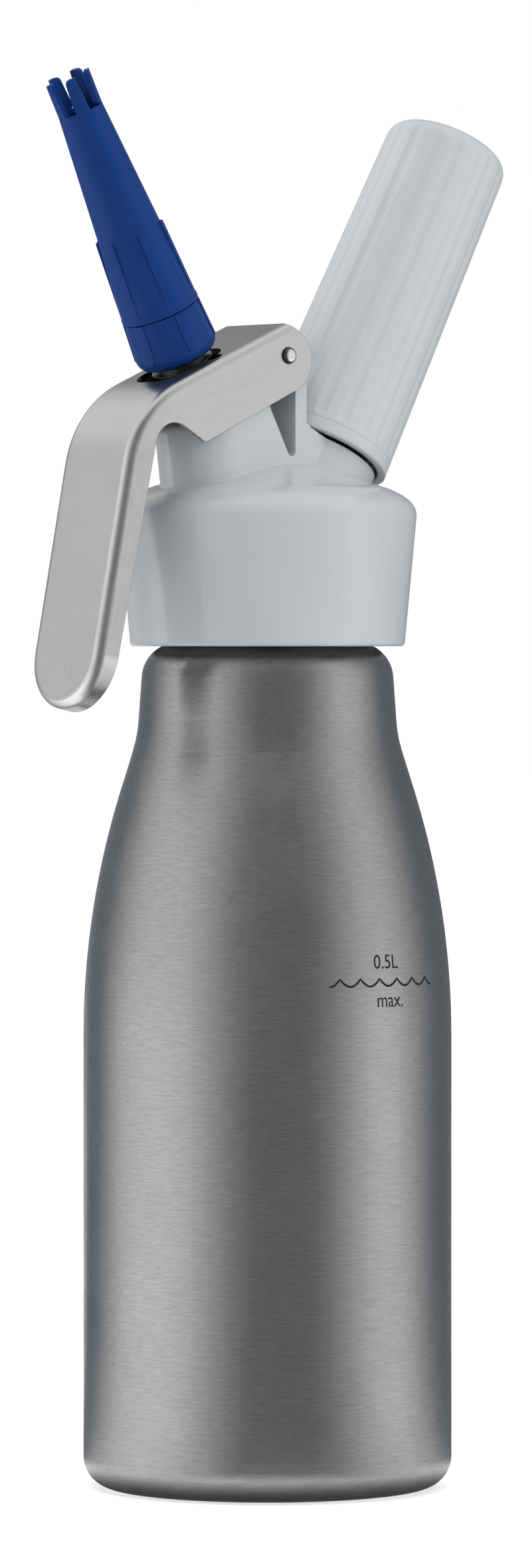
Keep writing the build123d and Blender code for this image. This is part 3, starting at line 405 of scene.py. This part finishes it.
def tinted(tree, low, high, mask):
    """A colour that goes from low to high with the mask."""
    mixed = put(tree, "ShaderNodeMix", {0: mask}, data_type="RGBA")
    for index, value in ((6, low), (7, high)):
        plain = not isinstance(value, bpy.types.NodeSocket)
        feed(tree, (*value, 1.0) if plain else value, mixed.inputs[index])
    return mixed.outputs[2]


def streaked(tree, base, shades, mask):
    """A colour that goes from its darker to its lighter shade with the mask."""
    darker, lighter = shades
    return tinted(tree, shade(base, darker), shade(base, lighter), mask)


def bright_rays(tree):
    """1 for the rays of the camera, of metal and of glass, which see the background as white."""
    path = tree.nodes.new("ShaderNodeLightPath").outputs
    seen = maths(tree, "MAXIMUM", path["Is Camera Ray"], path["Is Glossy Ray"])
    return maths(tree, "MAXIMUM", seen, path["Is Transmission Ray"])


def new_group(name, inputs, outputs):
    """An empty shader group: inputs are (name, kind, default) and outputs are (name, kind)."""
    tree = bpy.data.node_groups.new(name, "ShaderNodeTree")
    for label, kind, default in inputs:
        socket = tree.interface.new_socket(name=label, in_out="INPUT", socket_type=kind)
        if default is not None:
            socket.default_value = default
    for label, kind in outputs:
        tree.interface.new_socket(name=label, in_out="OUTPUT", socket_type=kind)
    given = tree.nodes.new("NodeGroupInput").outputs
    return tree, given, tree.nodes.new("NodeGroupOutput").inputs


def shared(tree, name, inputs):
    """A shared group placed in a material with its own values; returns its outputs."""
    made = tree.nodes.new("ShaderNodeGroup")
    made.node_tree = bpy.data.node_groups[name]
    for key, value in inputs.items():
        feed(tree, value, made.inputs[key])
    return made.outputs


def brushed_strokes_group():
    """Brush strokes that run in the Along direction, one Pitch apart in the other two."""
    tree, given, result = new_group(
        "Brushed strokes",
        [
            ("Along", FLOAT, 0.0),
            ("Across", FLOAT, 0.0),
            ("Depth", FLOAT, 0.0),
            ("Length", FLOAT, 0.004),
            ("Pitch", FLOAT, 0.0002),
        ],
        [("Height", FLOAT), ("Shade", FLOAT), ("Cloud", FLOAT)],
    )
    layers = []
    for stretch in (1.0, 2.6):
        parts = []
        for part, size in (("Along", "Length"), ("Across", "Pitch"), ("Depth", "Pitch")):
            length = maths(tree, "MULTIPLY", given[size], stretch)
            parts.append(maths(tree, "DIVIDE", given[part], length))
        layers.append(noise(tree, vector(tree, *parts), 1.0, 3.0, 0.6))
    height = maths(tree, "MULTIPLY_ADD", layers[0], 0.6, maths(tree, "MULTIPLY", layers[1], 0.4))
    cloud = noise(tree, vector(tree, given["Along"], given["Across"], given["Depth"]), 70.0)
    feed(tree, height, result["Height"])
    feed(tree, spread(tree, height, 0.32, 0.68, 0.0, 1.0), result["Shade"])
    feed(tree, spread(tree, cloud, 0.3, 0.7, 0.0, 1.0), result["Cloud"])


def moulded_skin_group():
    """Moulded plastic: a faint grain over slow waves, and a slow change of tone."""
    tree, given, result = new_group(
        "Moulded skin",
        [("Place", VECTOR, None), ("Grain", FLOAT, 1500.0), ("Flow", FLOAT, 55.0)],
        [("Height", FLOAT), ("Tone", FLOAT)],
    )
    grain = noise(tree, given["Place"], given["Grain"], 3.0)
    flow = noise(tree, given["Place"], given["Flow"])
    feed(tree, maths(tree, "MULTIPLY_ADD", flow, 3.0, grain), result["Height"])
    feed(tree, spread(tree, flow, 0.3, 0.7, 0.0, 1.0), result["Tone"])


def eased_edges_group():
    """Edges that catch the light: Normal is rounded over Radius, and Wear is 1 on an edge, in
    patches: partly wear, partly a painted edge highlight.
    """
    tree, given, result = new_group(
        "Eased edges",
        [("Radius", FLOAT, 0.0003), ("Place", VECTOR, None)],
        [("Normal", VECTOR), ("Wear", FLOAT)],
    )
    rounded = put(tree, "ShaderNodeBevel", {"Radius": given["Radius"]}, samples=6).outputs[0]
    plain = tree.nodes.new("ShaderNodeNewGeometry").outputs["Normal"]
    facing = vector_maths(tree, "DOT_PRODUCT", rounded, plain)["Value"]
    patches = spread(tree, noise(tree, given["Place"], 900.0), 0.3, 0.6, 0.35, 1.0)
    feed(tree, rounded, result["Normal"])
    rim = spread(tree, facing, 0.85, 0.99, 1.0, 0.0)
    feed(tree, maths(tree, "MULTIPLY", rim, patches), result["Wear"])


# ---------------------------------------------------------------- finishes
def new_finish(name):
    """A material with one Principled shader; returns its tree and the shader."""
    material = bpy.data.materials.new(name)
    material.use_nodes = True
    return material.node_tree, material.node_tree.nodes["Principled BSDF"]


def uneven(tree, shader, mask, rough, less, more):
    """Feeds the shader a roughness that wanders between less and more than its plain value."""
    feed(tree, spread(tree, mask, 0.0, 1.0, rough - less, rough + more), shader.inputs["Roughness"])


def relief(tree, shader, height, depth, normal=None):
    """Feeds a height to the shader's Normal through a Bump node."""
    bump = put(tree, "ShaderNodeBump", {"Distance": depth, "Height": height, "Normal": normal})
    feed(tree, bump.outputs[0], shader.inputs["Normal"])


def bottle_steel(steel):
    """Steel brushed round the bottle, which draws its reflections up and down."""
    tree, shader = new_finish("bottle_steel")
    x, y, z = split(tree, object_place(tree))
    strokes = shared(
        tree,
        "Brushed strokes",
        {
            "Along": maths(tree, "MULTIPLY", maths(tree, "ARCTAN2", y, x), BOTTLE_RADIUS),
            "Across": z,
            "Length": steel.bottle_stroke,
            "Pitch": steel.stroke_pitch,
        },
    )
    brushed = streaked(tree, tuple(steel.bottle), BOTTLE_SHADES, strokes["Shade"])
    feed(tree, brushed, shader.inputs["Base Color"])
    uneven(tree, shader, strokes["Cloud"], steel.bottle_roughness, less=0.03, more=0.03)
    shader.inputs["Metallic"].default_value = 1.0
    shader.inputs["Anisotropic"].default_value = 0.6
    shader.inputs["Anisotropic Rotation"].default_value = 0.25
    round_axis = put(tree, "ShaderNodeTangent", direction_type="RADIAL", axis="Z").outputs[0]
    feed(tree, round_axis, shader.inputs["Tangent"])
    relief(tree, shader, strokes["Height"], depth=0.00003)


def lever_lie(tree, place):
    """How a place lies on the lever: where it faces, its stroke inputs, and the strokes' way."""
    x, y, z = split(tree, vector_maths(tree, "SUBTRACT", place, BEND_CENTRE)["Vector"])
    angle = maths(tree, "ARCTAN2", z, x)
    turn = maths(tree, "WRAP", angle, BEND_MIDDLE + math.pi, BEND_MIDDLE - math.pi)
    limits = {"Value": turn, "Min": PLATE_FACES, "Max": HANDLE_FACES}
    faces = put(tree, "ShaderNodeClamp", limits).outputs[0]
    cosine, sine = maths(tree, "COSINE", faces), maths(tree, "SINE", faces)
    outward = maths(tree, "MULTIPLY_ADD", x, cosine, maths(tree, "MULTIPLY", z, sine))
    x_run, z_run = maths(tree, "MULTIPLY", x, sine), maths(tree, "MULTIPLY", z, cosine)
    run = maths(tree, "SUBTRACT", x_run, z_run)
    along = maths(tree, "MULTIPLY_ADD", faces, -BEND_RADIUS, run)
    way = vector(tree, sine, 0.0, maths(tree, "MULTIPLY", cosine, -1.0))
    return faces, {"Along": along, "Across": y, "Depth": outward}, way


def lever_colour(tree, base, faces, skin, strokes, wear_and_sheen):
    """Brushed steel, with a painted highlight on the broad faces of the handle and a painted shade
    on those of the plate.

    The broad faces are told from the cheeks by the normal in the world's axes, so the tones lie
    right only while the head isn't turned, or is turned halfway round.
    """
    sideways = maths(tree, "ABSOLUTE", split(tree, skin)[1])
    outside = spread(tree, sideways, 0.3, 0.7, 1.0, 0.0)
    to_handle = spread(tree, faces, BEND_MIDDLE, HANDLE_FACES, 0.0, 1.0)
    to_plate = spread(tree, faces, PLATE_FACES, BEND_MIDDLE, 1.0, 0.0)
    # The grip's tones are a painted highlight and the plate's a painted shade: lit and shaded
    # copies of the one steel.
    cheek, grip, plate = (
        streaked(tree, base, shades, strokes["Shade"])
        for shades in (CHEEK_SHADES, GRIP_PAINTED_HIGHLIGHT, PLATE_PAINTED_SHADE)
    )
    brushed = tinted(tree, cheek, grip, maths(tree, "MULTIPLY", outside, to_handle))
    brushed = tinted(tree, brushed, plate, maths(tree, "MULTIPLY", outside, to_plate))
    # Lightened edges: partly wear, partly a painted edge highlight.
    return tinted(tree, brushed, shade(base, WEAR_AND_SHEEN_SHADE), wear_and_sheen)


def lever_steel(steel):
    """Lighter steel brushed along the lever, round its bend."""
    tree, shader = new_finish("lever_steel")
    place = object_place(tree)
    faces, lie, way = lever_lie(tree, place)
    size = {"Length": steel.lever_stroke, "Pitch": steel.stroke_pitch}
    strokes = shared(tree, "Brushed strokes", {**lie, **size})
    edges = shared(tree, "Eased edges", {"Radius": 0.00025, "Place": place})
    skin = tree.nodes.new("ShaderNodeNewGeometry").outputs["Normal"]
    colour = lever_colour(tree, tuple(steel.lever), faces, skin, strokes, edges["Wear"])
    feed(tree, colour, shader.inputs["Base Color"])
    uneven(tree, shader, strokes["Cloud"], steel.lever_roughness, less=0.03, more=0.03)
    shader.inputs["Metallic"].default_value = 1.0
    shader.inputs["Anisotropic"].default_value = 0.5
    stroke_way = put(
        tree,
        "ShaderNodeVectorTransform",
        {0: way},
        vector_type="VECTOR",
        convert_from="OBJECT",
        convert_to="WORLD",
    ).outputs[0]
    tangent = vector_maths(tree, "CROSS_PRODUCT", skin, stroke_way)["Vector"]
    feed(tree, tangent, shader.inputs["Tangent"])
    relief(tree, shader, strokes["Height"], depth=0.000009, normal=edges["Normal"])


def painted_pin_shade(tree, x, z, wear_and_sheen):
    """The painted shade on the polished parts, as the share left unshaded, and their lightened
    edges: only the pin's face is left unshaded, and near the pin the edges aren't lightened.
    """
    across = maths(tree, "SUBTRACT", x, PIN_CENTRE.x)
    up = maths(tree, "SUBTRACT", z, PIN_CENTRE.z)
    away = vector_maths(tree, "LENGTH", vector(tree, across, 0.0, up))["Value"]
    unshaded = spread(tree, away, PIN_FACE, PIN_FACE + PIN_RIM, 1.0, 0.1)
    return unshaded, maths(tree, "MULTIPLY", wear_and_sheen, spread(tree, away, 0.002, 0.004, 0.0, 1.0))


def small_metal(name, base, rough, polished=False):
    """Turned or drawn metal of a small part, with fine strokes and edges lightened in patches,
    partly wear and partly a painted highlight; polished parts get a painted shade off the pin's
    face.
    """
    tree, shader = new_finish(name)
    place = object_place(tree)
    x, y, z = split(tree, place)
    lie = {"Along": y, "Across": z, "Depth": x, "Length": 0.002, "Pitch": 0.00025}
    strokes = shared(tree, "Brushed strokes", lie)
    edges = shared(tree, "Eased edges", {"Radius": 0.00015, "Place": place})
    brushed = streaked(tree, base, SMALL_METAL_SHADES, strokes["Shade"])
    wear_and_sheen = edges["Wear"]
    # Painted shade: all of the polished finish but the hinge pin's face is darkened to a tenth, for
    # the shade in the gap round the pin and on the press washer in the lever's opening.
    if polished:
        unshaded, wear_and_sheen = painted_pin_shade(tree, x, z, wear_and_sheen)
        brushed = tinted(tree, (0.0, 0.0, 0.0), brushed, unshaded)
    # Lightened edges: partly wear, partly a painted edge highlight.
    feed(tree, tinted(tree, brushed, shade(base, WEAR_AND_SHEEN_SHADE), wear_and_sheen), shader.inputs["Base Color"])
    uneven(tree, shader, strokes["Cloud"], rough, less=0.03, more=0.05)
    shader.inputs["Metallic"].default_value = 1.0
    relief(tree, shader, strokes["Height"], depth=0.000004, normal=edges["Normal"])


def moulding(name, base, rough, edge=0.00025, depth=0.00001, level=0.5):
    """Moulded plastic with eased edges, a faint skin and a slow change of tone."""
    tree, shader = new_finish(name)
    place = object_place(tree)
    skin = shared(tree, "Moulded skin", {"Place": place})
    edges = shared(tree, "Eased edges", {"Radius": edge, "Place": place})
    feed(tree, streaked(tree, base, (0.98, 1.01), skin["Tone"]), shader.inputs["Base Color"])
    uneven(tree, shader, skin["Tone"], rough, less=0.02, more=0.03)
    shader.inputs["Specular IOR Level"].default_value = level
    relief(tree, shader, skin["Height"], depth=depth, normal=edges["Normal"])


def rubber(name, base, rough):
    """Matt rubber with a dusty bloom."""
    tree, shader = new_finish(name)
    grain = {"Place": object_place(tree), "Grain": 4000.0, "Flow": 300.0}
    skin = shared(tree, "Moulded skin", grain)
    feed(tree, streaked(tree, base, (1.0, 1.5), skin["Tone"]), shader.inputs["Base Color"])
    shader.inputs["Roughness"].default_value = rough
    relief(tree, shader, skin["Height"], depth=0.00001)


def mark_ink(base):
    """Matt print, broken up a little by the brushed steel under it."""
    tree, shader = new_finish("mark_ink")
    x, y, z = split(tree, object_place(tree))
    lie = {"Along": x, "Across": z, "Depth": y, "Length": 0.003, "Pitch": 0.0002}
    strokes = shared(tree, "Brushed strokes", lie)
    feed(tree, streaked(tree, base, (1.0, 4.0), strokes["Shade"]), shader.inputs["Base Color"])
    shader.inputs["Roughness"].default_value = 0.6
    shader.inputs["Specular IOR Level"].default_value = 0.12
    relief(tree, shader, strokes["Height"], depth=0.000008)


def make_finishes(scene):
    """The shared groups and every finish of the object."""
    brushed_strokes_group()
    moulded_skin_group()
    eased_edges_group()
    steel, plastic = scene.dispenser_steel, scene.dispenser_plastic
    bottle_steel(steel)
    lever_steel(steel)
    small_metal("pin_steel", tuple(steel.polished), 0.14, polished=True)
    for name, (base, rough) in SMALL_METALS.items():
        small_metal(name, base, rough)
    moulding("head_plastic", tuple(plastic.head), plastic.head_roughness, edge=0.0003)
    holder = tuple(plastic.holder)
    moulding("holder_plastic", holder, plastic.holder_roughness, edge=0.0012, depth=0.000012)
    for name in ("nozzle_plastic", "adapter_plastic"):
        nozzle = tuple(plastic.nozzle)
        moulding(name, nozzle, plastic.nozzle_roughness, edge=0.0002, level=0.14)
    moulding("bush_plastic", (0.80, 0.80, 0.77), 0.4)
    rubber("seal_rubber", tuple(plastic.rubber), 0.6)
    rubber("gasket_silicone", tuple(plastic.silicone), 0.5)
    mark_ink(tuple(scene.dispenser_mark.ink))


def finish(name):
    """A finish by its name, with all of them made when the first is asked for."""
    if name not in bpy.data.materials:
        make_finishes(bpy.context.scene)
    return bpy.data.materials[name]


def dress(*nodes):
    """Gives CAD nodes the finish of their own slot."""
    for node in nodes:
        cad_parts[node].data.materials.append(finish(SLOT_OF[node]))


# ---------------------------------------------------------------- shapes
def add_object(name, data):
    """A new object in the scene."""
    item = bpy.data.objects.new(name, data)
    bpy.context.scene.collection.objects.link(item)
    return item


def strip_mesh(name, rows):
    """A mesh of faces between rows of points, each row joined to the next."""
    mesh = bpy.data.meshes.new(name)
    work = bmesh.new()
    rows = [[work.verts.new(point) for point in row] for row in rows]
    for first, second in zip(rows, rows[1:]):
        for at in range(len(first) - 1):
            work.faces.new((first[at], second[at], second[at + 1], first[at + 1]))
    work.to_mesh(mesh)
    work.free()
    return mesh


# ---------------------------------------------------------------- fill mark
def wave_strip(mark):
    """The wave line as a flat strip: pairs of points on its lower and its upper edge."""
    middle = []
    for step in range(WAVES * WAVE_STEPS + 1):
        phase = step / WAVE_STEPS
        dip = abs(math.cos(math.pi * phase)) ** CREST_POWER
        middle.append(Vector(((phase - WAVES / 2) * mark.pitch, mark.crest * (1.0 - dip), 0.0)))
    strip = []
    for index, point in enumerate(middle):
        before, after = middle[max(0, index - 1)], middle[min(len(middle) - 1, index + 1)]
        side = Vector((before.y - after.y, after.x - before.x, 0.0)).normalized() * mark.stroke / 2
        strip.append((point - side, point + side))
    return strip


def printed_piece(name, mesh, mark):
    """Lays a flat mesh, x round and y up, on the bottle's skin, with its finish, body and slot."""
    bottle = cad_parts["bottle"]
    for point in mesh.vertices:
        bearing = mark.bearing + point.co.x / MARK_RADIUS
        out = Vector((math.cos(bearing), math.sin(bearing), 0.0))
        start = out * (1.5 * BOTTLE_RADIUS) + Vector((0.0, 0.0, mark.level + point.co.y))
        found, skin, _, _ = bottle.ray_cast(start, -out)
        if not found:
            raise RuntimeError("the fill mark doesn't lie on the bottle")
        point.co = skin + out * mark.lift
    mesh.update()
    mesh.materials.clear()
    mesh.materials.append(finish("mark_ink"))
    piece = add_object(name, mesh)
    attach(piece, "bottle")


def printed_words(name, words, left, foot, width, height, mark):
    """Plain lettering fitted to a box, whose foot is counted from the wave's troughs."""
    curve = bpy.data.curves.new(name, "FONT")
    curve.body = words
    curve.resolution_u = 6
    writing = add_object(name, curve)
    shown = writing.evaluated_get(bpy.context.evaluated_depsgraph_get())
    mesh = bpy.data.meshes.new_from_object(shown)
    bpy.data.objects.remove(writing)
    low, high = (
        Vector([pick(point.co[axis] for point in mesh.vertices) for axis in range(2)])
        for pick in (min, max)
    )
    for point in mesh.vertices:
        across = (point.co.x - low.x) / (high.x - low.x) * width
        up = (point.co.y - low.y) / (high.y - low.y) * height
        point.co = Vector((left + across, foot + up, 0.0))
    printed_piece(name, mesh, mark)


# ---------------------------------------------------------------- studio
def turned(bearing):
    """A bearing counted from the camera, right-hand side positive, as an angle from +X."""
    return bpy.context.scene.dispenser_studio.azimuth - math.pi / 2 + bearing


def polar(bearing, distance, height):
    """A place round the bottle, by its bearing from the camera."""
    turn = turned(bearing)
    return Vector((distance * math.cos(turn), distance * math.sin(turn), height))


def softbox(name, bearing, distance, height, size, power):
    """A rectangular lamp that faces the middle of the object, which reflections don't show."""
    lamp = bpy.data.lights.new(name, "AREA")
    lamp.shape = "RECTANGLE"
    lamp.size, lamp.size_y = size
    lamp.energy = power
    item = add_object(name, lamp)
    item.location = polar(bearing, distance, height)
    item.rotation_euler = (AIM - item.location).to_track_quat("-Z", "Y").to_euler()
    item.visible_glossy = False


def bare_material(name):
    """A material with no nodes; returns it and its tree."""
    material = bpy.data.materials.new(name)
    material.use_nodes = True
    material.node_tree.nodes.clear()
    return material, material.node_tree


def card_paint(name, tone, cover_of):
    """A dark tone that covers as much as cover_of gives, and is clear elsewhere."""
    material, tree = bare_material(name)
    cover = cover_of(tree, *split(tree, object_place(tree)))
    clear = tree.nodes.new("ShaderNodeBsdfTransparent").outputs[0]
    dark = put(tree, "ShaderNodeEmission", {"Color": (*tone, 1.0), "Strength": 1.0}).outputs[0]
    mixed = put(tree, "ShaderNodeMixShader", {0: cover, 1: clear, 2: dark}).outputs[0]
    put(tree, "ShaderNodeOutputMaterial", {"Surface": mixed})
    return material


def turned_card(name, bearing, half_width, profile, material):
    """A profile of (radius, height) turned about the bottle's axis, which only reflections show."""
    rows = []
    for step in range(CARD_STEPS + 1):
        turn = half_width * (2 * step / CARD_STEPS - 1)
        rows.append([(r * math.cos(turn), r * math.sin(turn), z) for r, z in profile])
    card = add_object(name, strip_mesh(name, rows))
    card.rotation_euler.z = turned(bearing)
    card.visible_camera = card.visible_diffuse = card.visible_shadow = False
    card.visible_transmission = card.visible_volume_scatter = False
    card.data.materials.append(material)


def flag(name, bearing, half_width, soft, tone, tall):
    """A dark card on the floor and up the wall, which fades out at its sides and towards tall."""

    def cover(tree, x, y, z):
        off_middle = maths(tree, "ABSOLUTE", maths(tree, "ARCTAN2", y, x))
        sides = spread(tree, off_middle, half_width - soft, half_width, 1.0, 0.0)
        return maths(tree, "MULTIPLY", sides, spread(tree, z, tall / 2, tall, 1.0, 0.0))

    profile = ((CARD_START, CARD_LEVEL), (CARD_WALL, CARD_LEVEL), (CARD_WALL, CARD_TOP))
    turned_card(name, bearing, half_width, profile, card_paint(name, tone, cover))


def foot_ring(name, reach, tone):
    """A dark ring on the floor round the bottle's foot, which fades out at its reach."""

    def cover(tree, x, y, _z):
        away = vector_maths(tree, "LENGTH", vector(tree, x, y, 0.0))["Value"]
        return spread(tree, away, RING_FADE, reach, 1.0, 0.0)

    profile = ((RING_START, RING_LEVEL), (reach, RING_LEVEL))
    turned_card(name, 0.0, math.pi, profile, card_paint(name, tone, cover))


def studio_floor(studio):
    """A pale floor that keeps the object's shadow and ends in the white background."""
    mesh = bpy.data.meshes.new("studio_floor")
    work = bmesh.new()
    bmesh.ops.create_circle(work, cap_ends=True, radius=FLOOR_RADIUS, segments=96)
    work.to_mesh(mesh)
    work.free()
    item = add_object("studio_floor", mesh)
    item.location.z = -0.0001
    material, tree = bare_material("studio_floor")
    cloud = noise(tree, object_place(tree), 9.0)
    paper = streaked(tree, tuple(studio.floor), (0.985, 1.0), cloud)
    matt = put(tree, "ShaderNodeBsdfDiffuse", {"Color": paper}).outputs[0]
    white = {"Color": (1, 1, 1, 1), "Strength": FLOOR_GLOW}
    glow = put(tree, "ShaderNodeEmission", white).outputs[0]
    lit = put(tree, "ShaderNodeAddShader", {0: matt, 1: glow}).outputs[0]
    mixed = put(tree, "ShaderNodeMixShader", {0: bright_rays(tree), 1: matt, 2: lit}).outputs[0]
    put(tree, "ShaderNodeOutputMaterial", {"Surface": mixed})
    mesh.materials.append(material)


def studio_world(studio):
    """Even light from all round, which the camera, metal and glass see as white."""
    world = bpy.data.worlds.new("studio_world")
    world.use_nodes = True
    tree = world.node_tree
    tree.nodes.clear()
    white, even = (
        put(tree, "ShaderNodeBackground", {"Color": (1, 1, 1, 1), "Strength": strength}).outputs[0]
        for strength in (1.0, studio.fill)
    )
    mixed = put(tree, "ShaderNodeMixShader", {0: bright_rays(tree), 1: even, 2: white}).outputs[0]
    put(tree, "ShaderNodeOutputWorld", {"Surface": mixed})
    bpy.context.scene.world = world


def studio_camera(studio):
    """A level camera, low over the floor, with its frame moved up to take in the nozzle."""
    lens = bpy.data.cameras.new("studio_camera")
    lens.sensor_fit = "VERTICAL"
    lens.sensor_height = 36.0
    lens.lens = studio.lens
    lens.shift_x, lens.shift_y = -0.00093, -0.0936
    lens.clip_start = 0.01
    camera = add_object("studio_camera", lens)
    camera.location = polar(0.0, studio.stand_off, studio.eye)
    camera.rotation_euler = (math.pi / 2, 0.0, studio.azimuth)
    bpy.context.scene.camera = camera


# ---------------------------------------------------------------- operators
class DressBottle(bpy.types.Operator):
    """Brushed steel for the bottle, and silicone for the gasket on its lip"""

    bl_idname = "dispenser.bottle"
    bl_label = "Bottle"

    def execute(self, context):
        dress("bottle", "neck_gasket")
        return {"FINISHED"}


class PrintFillMark(bpy.types.Operator):
    """The wave line at the fill level, with its measure over it and a short word under it"""

    bl_idname = "dispenser.fill_mark"
    bl_label = "Fill mark"

    def execute(self, context):
        mark = context.scene.dispenser_mark
        printed_piece("fill_mark_wave", strip_mesh("fill_mark_wave", wave_strip(mark)), mark)
        measure = {"left": -0.00377, "foot": 0.0037, "width": 0.00677, "height": 0.0030}
        printed_words("fill_mark_measure", "0.5L", mark=mark, **measure)
        word = {"left": -0.00321, "foot": -0.0045, "width": 0.00719, "height": 0.0021}
        printed_words("fill_mark_word", "max.", mark=mark, **word)
        return {"FINISHED"}


class DressHead(bpy.types.Operator):
    """Grey plastic for the head, and the metal of the charger port in it"""

    bl_idname = "dispenser.head"
    bl_label = "Head and charger port"

    def execute(self, context):
        dress("head_body", "charger_port_stud", "gas_filter")
        dress("piercing_pin", "port_seal", "gas_check_valve")
        return {"FINISHED"}


class DressLever(bpy.types.Operator):
    """Steel brushed along the lever, and its polished hinge pin"""

    bl_idname = "dispenser.lever"
    bl_label = "Lever and hinge pin"

    def execute(self, context):
        dress("lever", "hinge_pin")
        return {"FINISHED"}


class DressValve(bpy.types.Operator):
    """The valve's stem, seals, bush, washer and clip, and a copy of the valve spring that rides
    with the head
    """

    bl_idname = "dispenser.valve"
    bl_label = "Valve"

    def execute(self, context):
        dress("valve_stem", "stem_seal_lower", "stem_seal_upper", "poppet_seal", "guide_bush")
        dress("valve_spring", "press_washer", "stem_circlip")
        coil = add_object("valve_spring_coil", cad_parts["valve_spring"].data.copy())
        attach(coil, "head")
        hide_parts("valve_spring")
        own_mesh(coil)
        return {"FINISHED"}


class DressNozzle(bpy.types.Operator):
    """Blue plastic for the nozzle and its adapter, and the seal between adapter and stem"""

    bl_idname = "dispenser.nozzle"
    bl_label = "Nozzle and adapter"

    def execute(self, context):
        dress("nozzle_adapter", "decorator_nozzle", "nozzle_seal")
        return {"FINISHED"}


class DressCharger(bpy.types.Operator):
    """The fluted charger holder, its pad and the charger in it"""

    bl_idname = "dispenser.charger"
    bl_label = "Charger and holder"

    def execute(self, context):
        dress("charger_holder", "holder_pad", "gas_charger")
        return {"FINISHED"}


class SetStudio(bpy.types.Operator):
    """Floor, even world light, softboxes, flags and the camera"""

    bl_idname = "dispenser.studio"
    bl_label = "Studio"

    def execute(self, context):
        studio = context.scene.dispenser_studio
        studio_world(studio)
        studio_floor(studio)
        studio_camera(studio)
        turn = math.radians
        for name, bearing, distance, height, size, power in (
            ("softbox_left", -105, 1.5, 0.35, (0.4, 1.0), studio.key),
            ("softbox_right", 75, 1.5, 0.6, (0.7, 1.3), studio.side),
            ("softbox_front", 28, 1.6, 0.8, (0.8, 0.8), studio.front),
            ("softbox_top", -20, 0.5, 1.7, (1.2, 1.2), studio.top),
        ):
            softbox(name, turn(bearing), distance, height, size, power)
        for name, bearing, half_width, soft, tone, tall in (
            ("flag_front", 9, 75, 60, (0.25, 0.25, 0.245), 6.0),
            ("flag_left", -144, 64, 56, (0.20, 0.22, 0.25), 1.7),
            ("flag_right", 137, 67, 62, (0.20, 0.22, 0.25), 6.0),
            ("flag_back", 163, 42, 28, (0.10, 0.10, 0.105), 6.0),
        ):
            flag(name, turn(bearing), turn(half_width), turn(soft), tone, tall)
        foot_ring("flag_foot", 0.05, (0.10, 0.10, 0.10))
        context.scene.view_settings.view_transform = "Standard"
        return {"FINISHED"}


STEPS = (
    DressBottle,
    PrintFillMark,
    DressHead,
    DressLever,
    DressValve,
    DressNozzle,
    DressCharger,
    SetStudio,
)


class DispenserPanel(bpy.types.Panel):
    """Lists the dispenser's steps and settings in the 3D view's sidebar"""

    bl_idname = "VIEW3D_PT_dispenser"
    bl_label = "Whipped Cream Dispenser"
    bl_space_type = "VIEW_3D"
    bl_region_type = "UI"
    bl_category = "Dispenser"

    def draw(self, context):
        for step in STEPS:
            self.layout.operator(step.bl_idname)
        for name, group in SETTINGS.items():
            box = self.layout.box()
            for setting in group.__annotations__:
                box.prop(getattr(context.scene, name), setting)


def register():
    """Registers the settings, the steps and the panel."""
    for name, group in SETTINGS.items():
        bpy.utils.register_class(group)
        setattr(bpy.types.Scene, name, bpy.props.PointerProperty(type=group))
    for step in (*STEPS, DispenserPanel):
        bpy.utils.register_class(step)


def unregister():
    """Takes them all away again."""
    for step in (*STEPS, DispenserPanel):
        bpy.utils.unregister_class(step)
    for name, group in SETTINGS.items():
        delattr(bpy.types.Scene, name)
        bpy.utils.unregister_class(group)


def main():
    """Runs every step in order."""
    register()
    for step in STEPS:
        getattr(bpy.ops.dispenser, step.bl_idname.split(".")[1])()


if __name__ == "__main__":
    main()
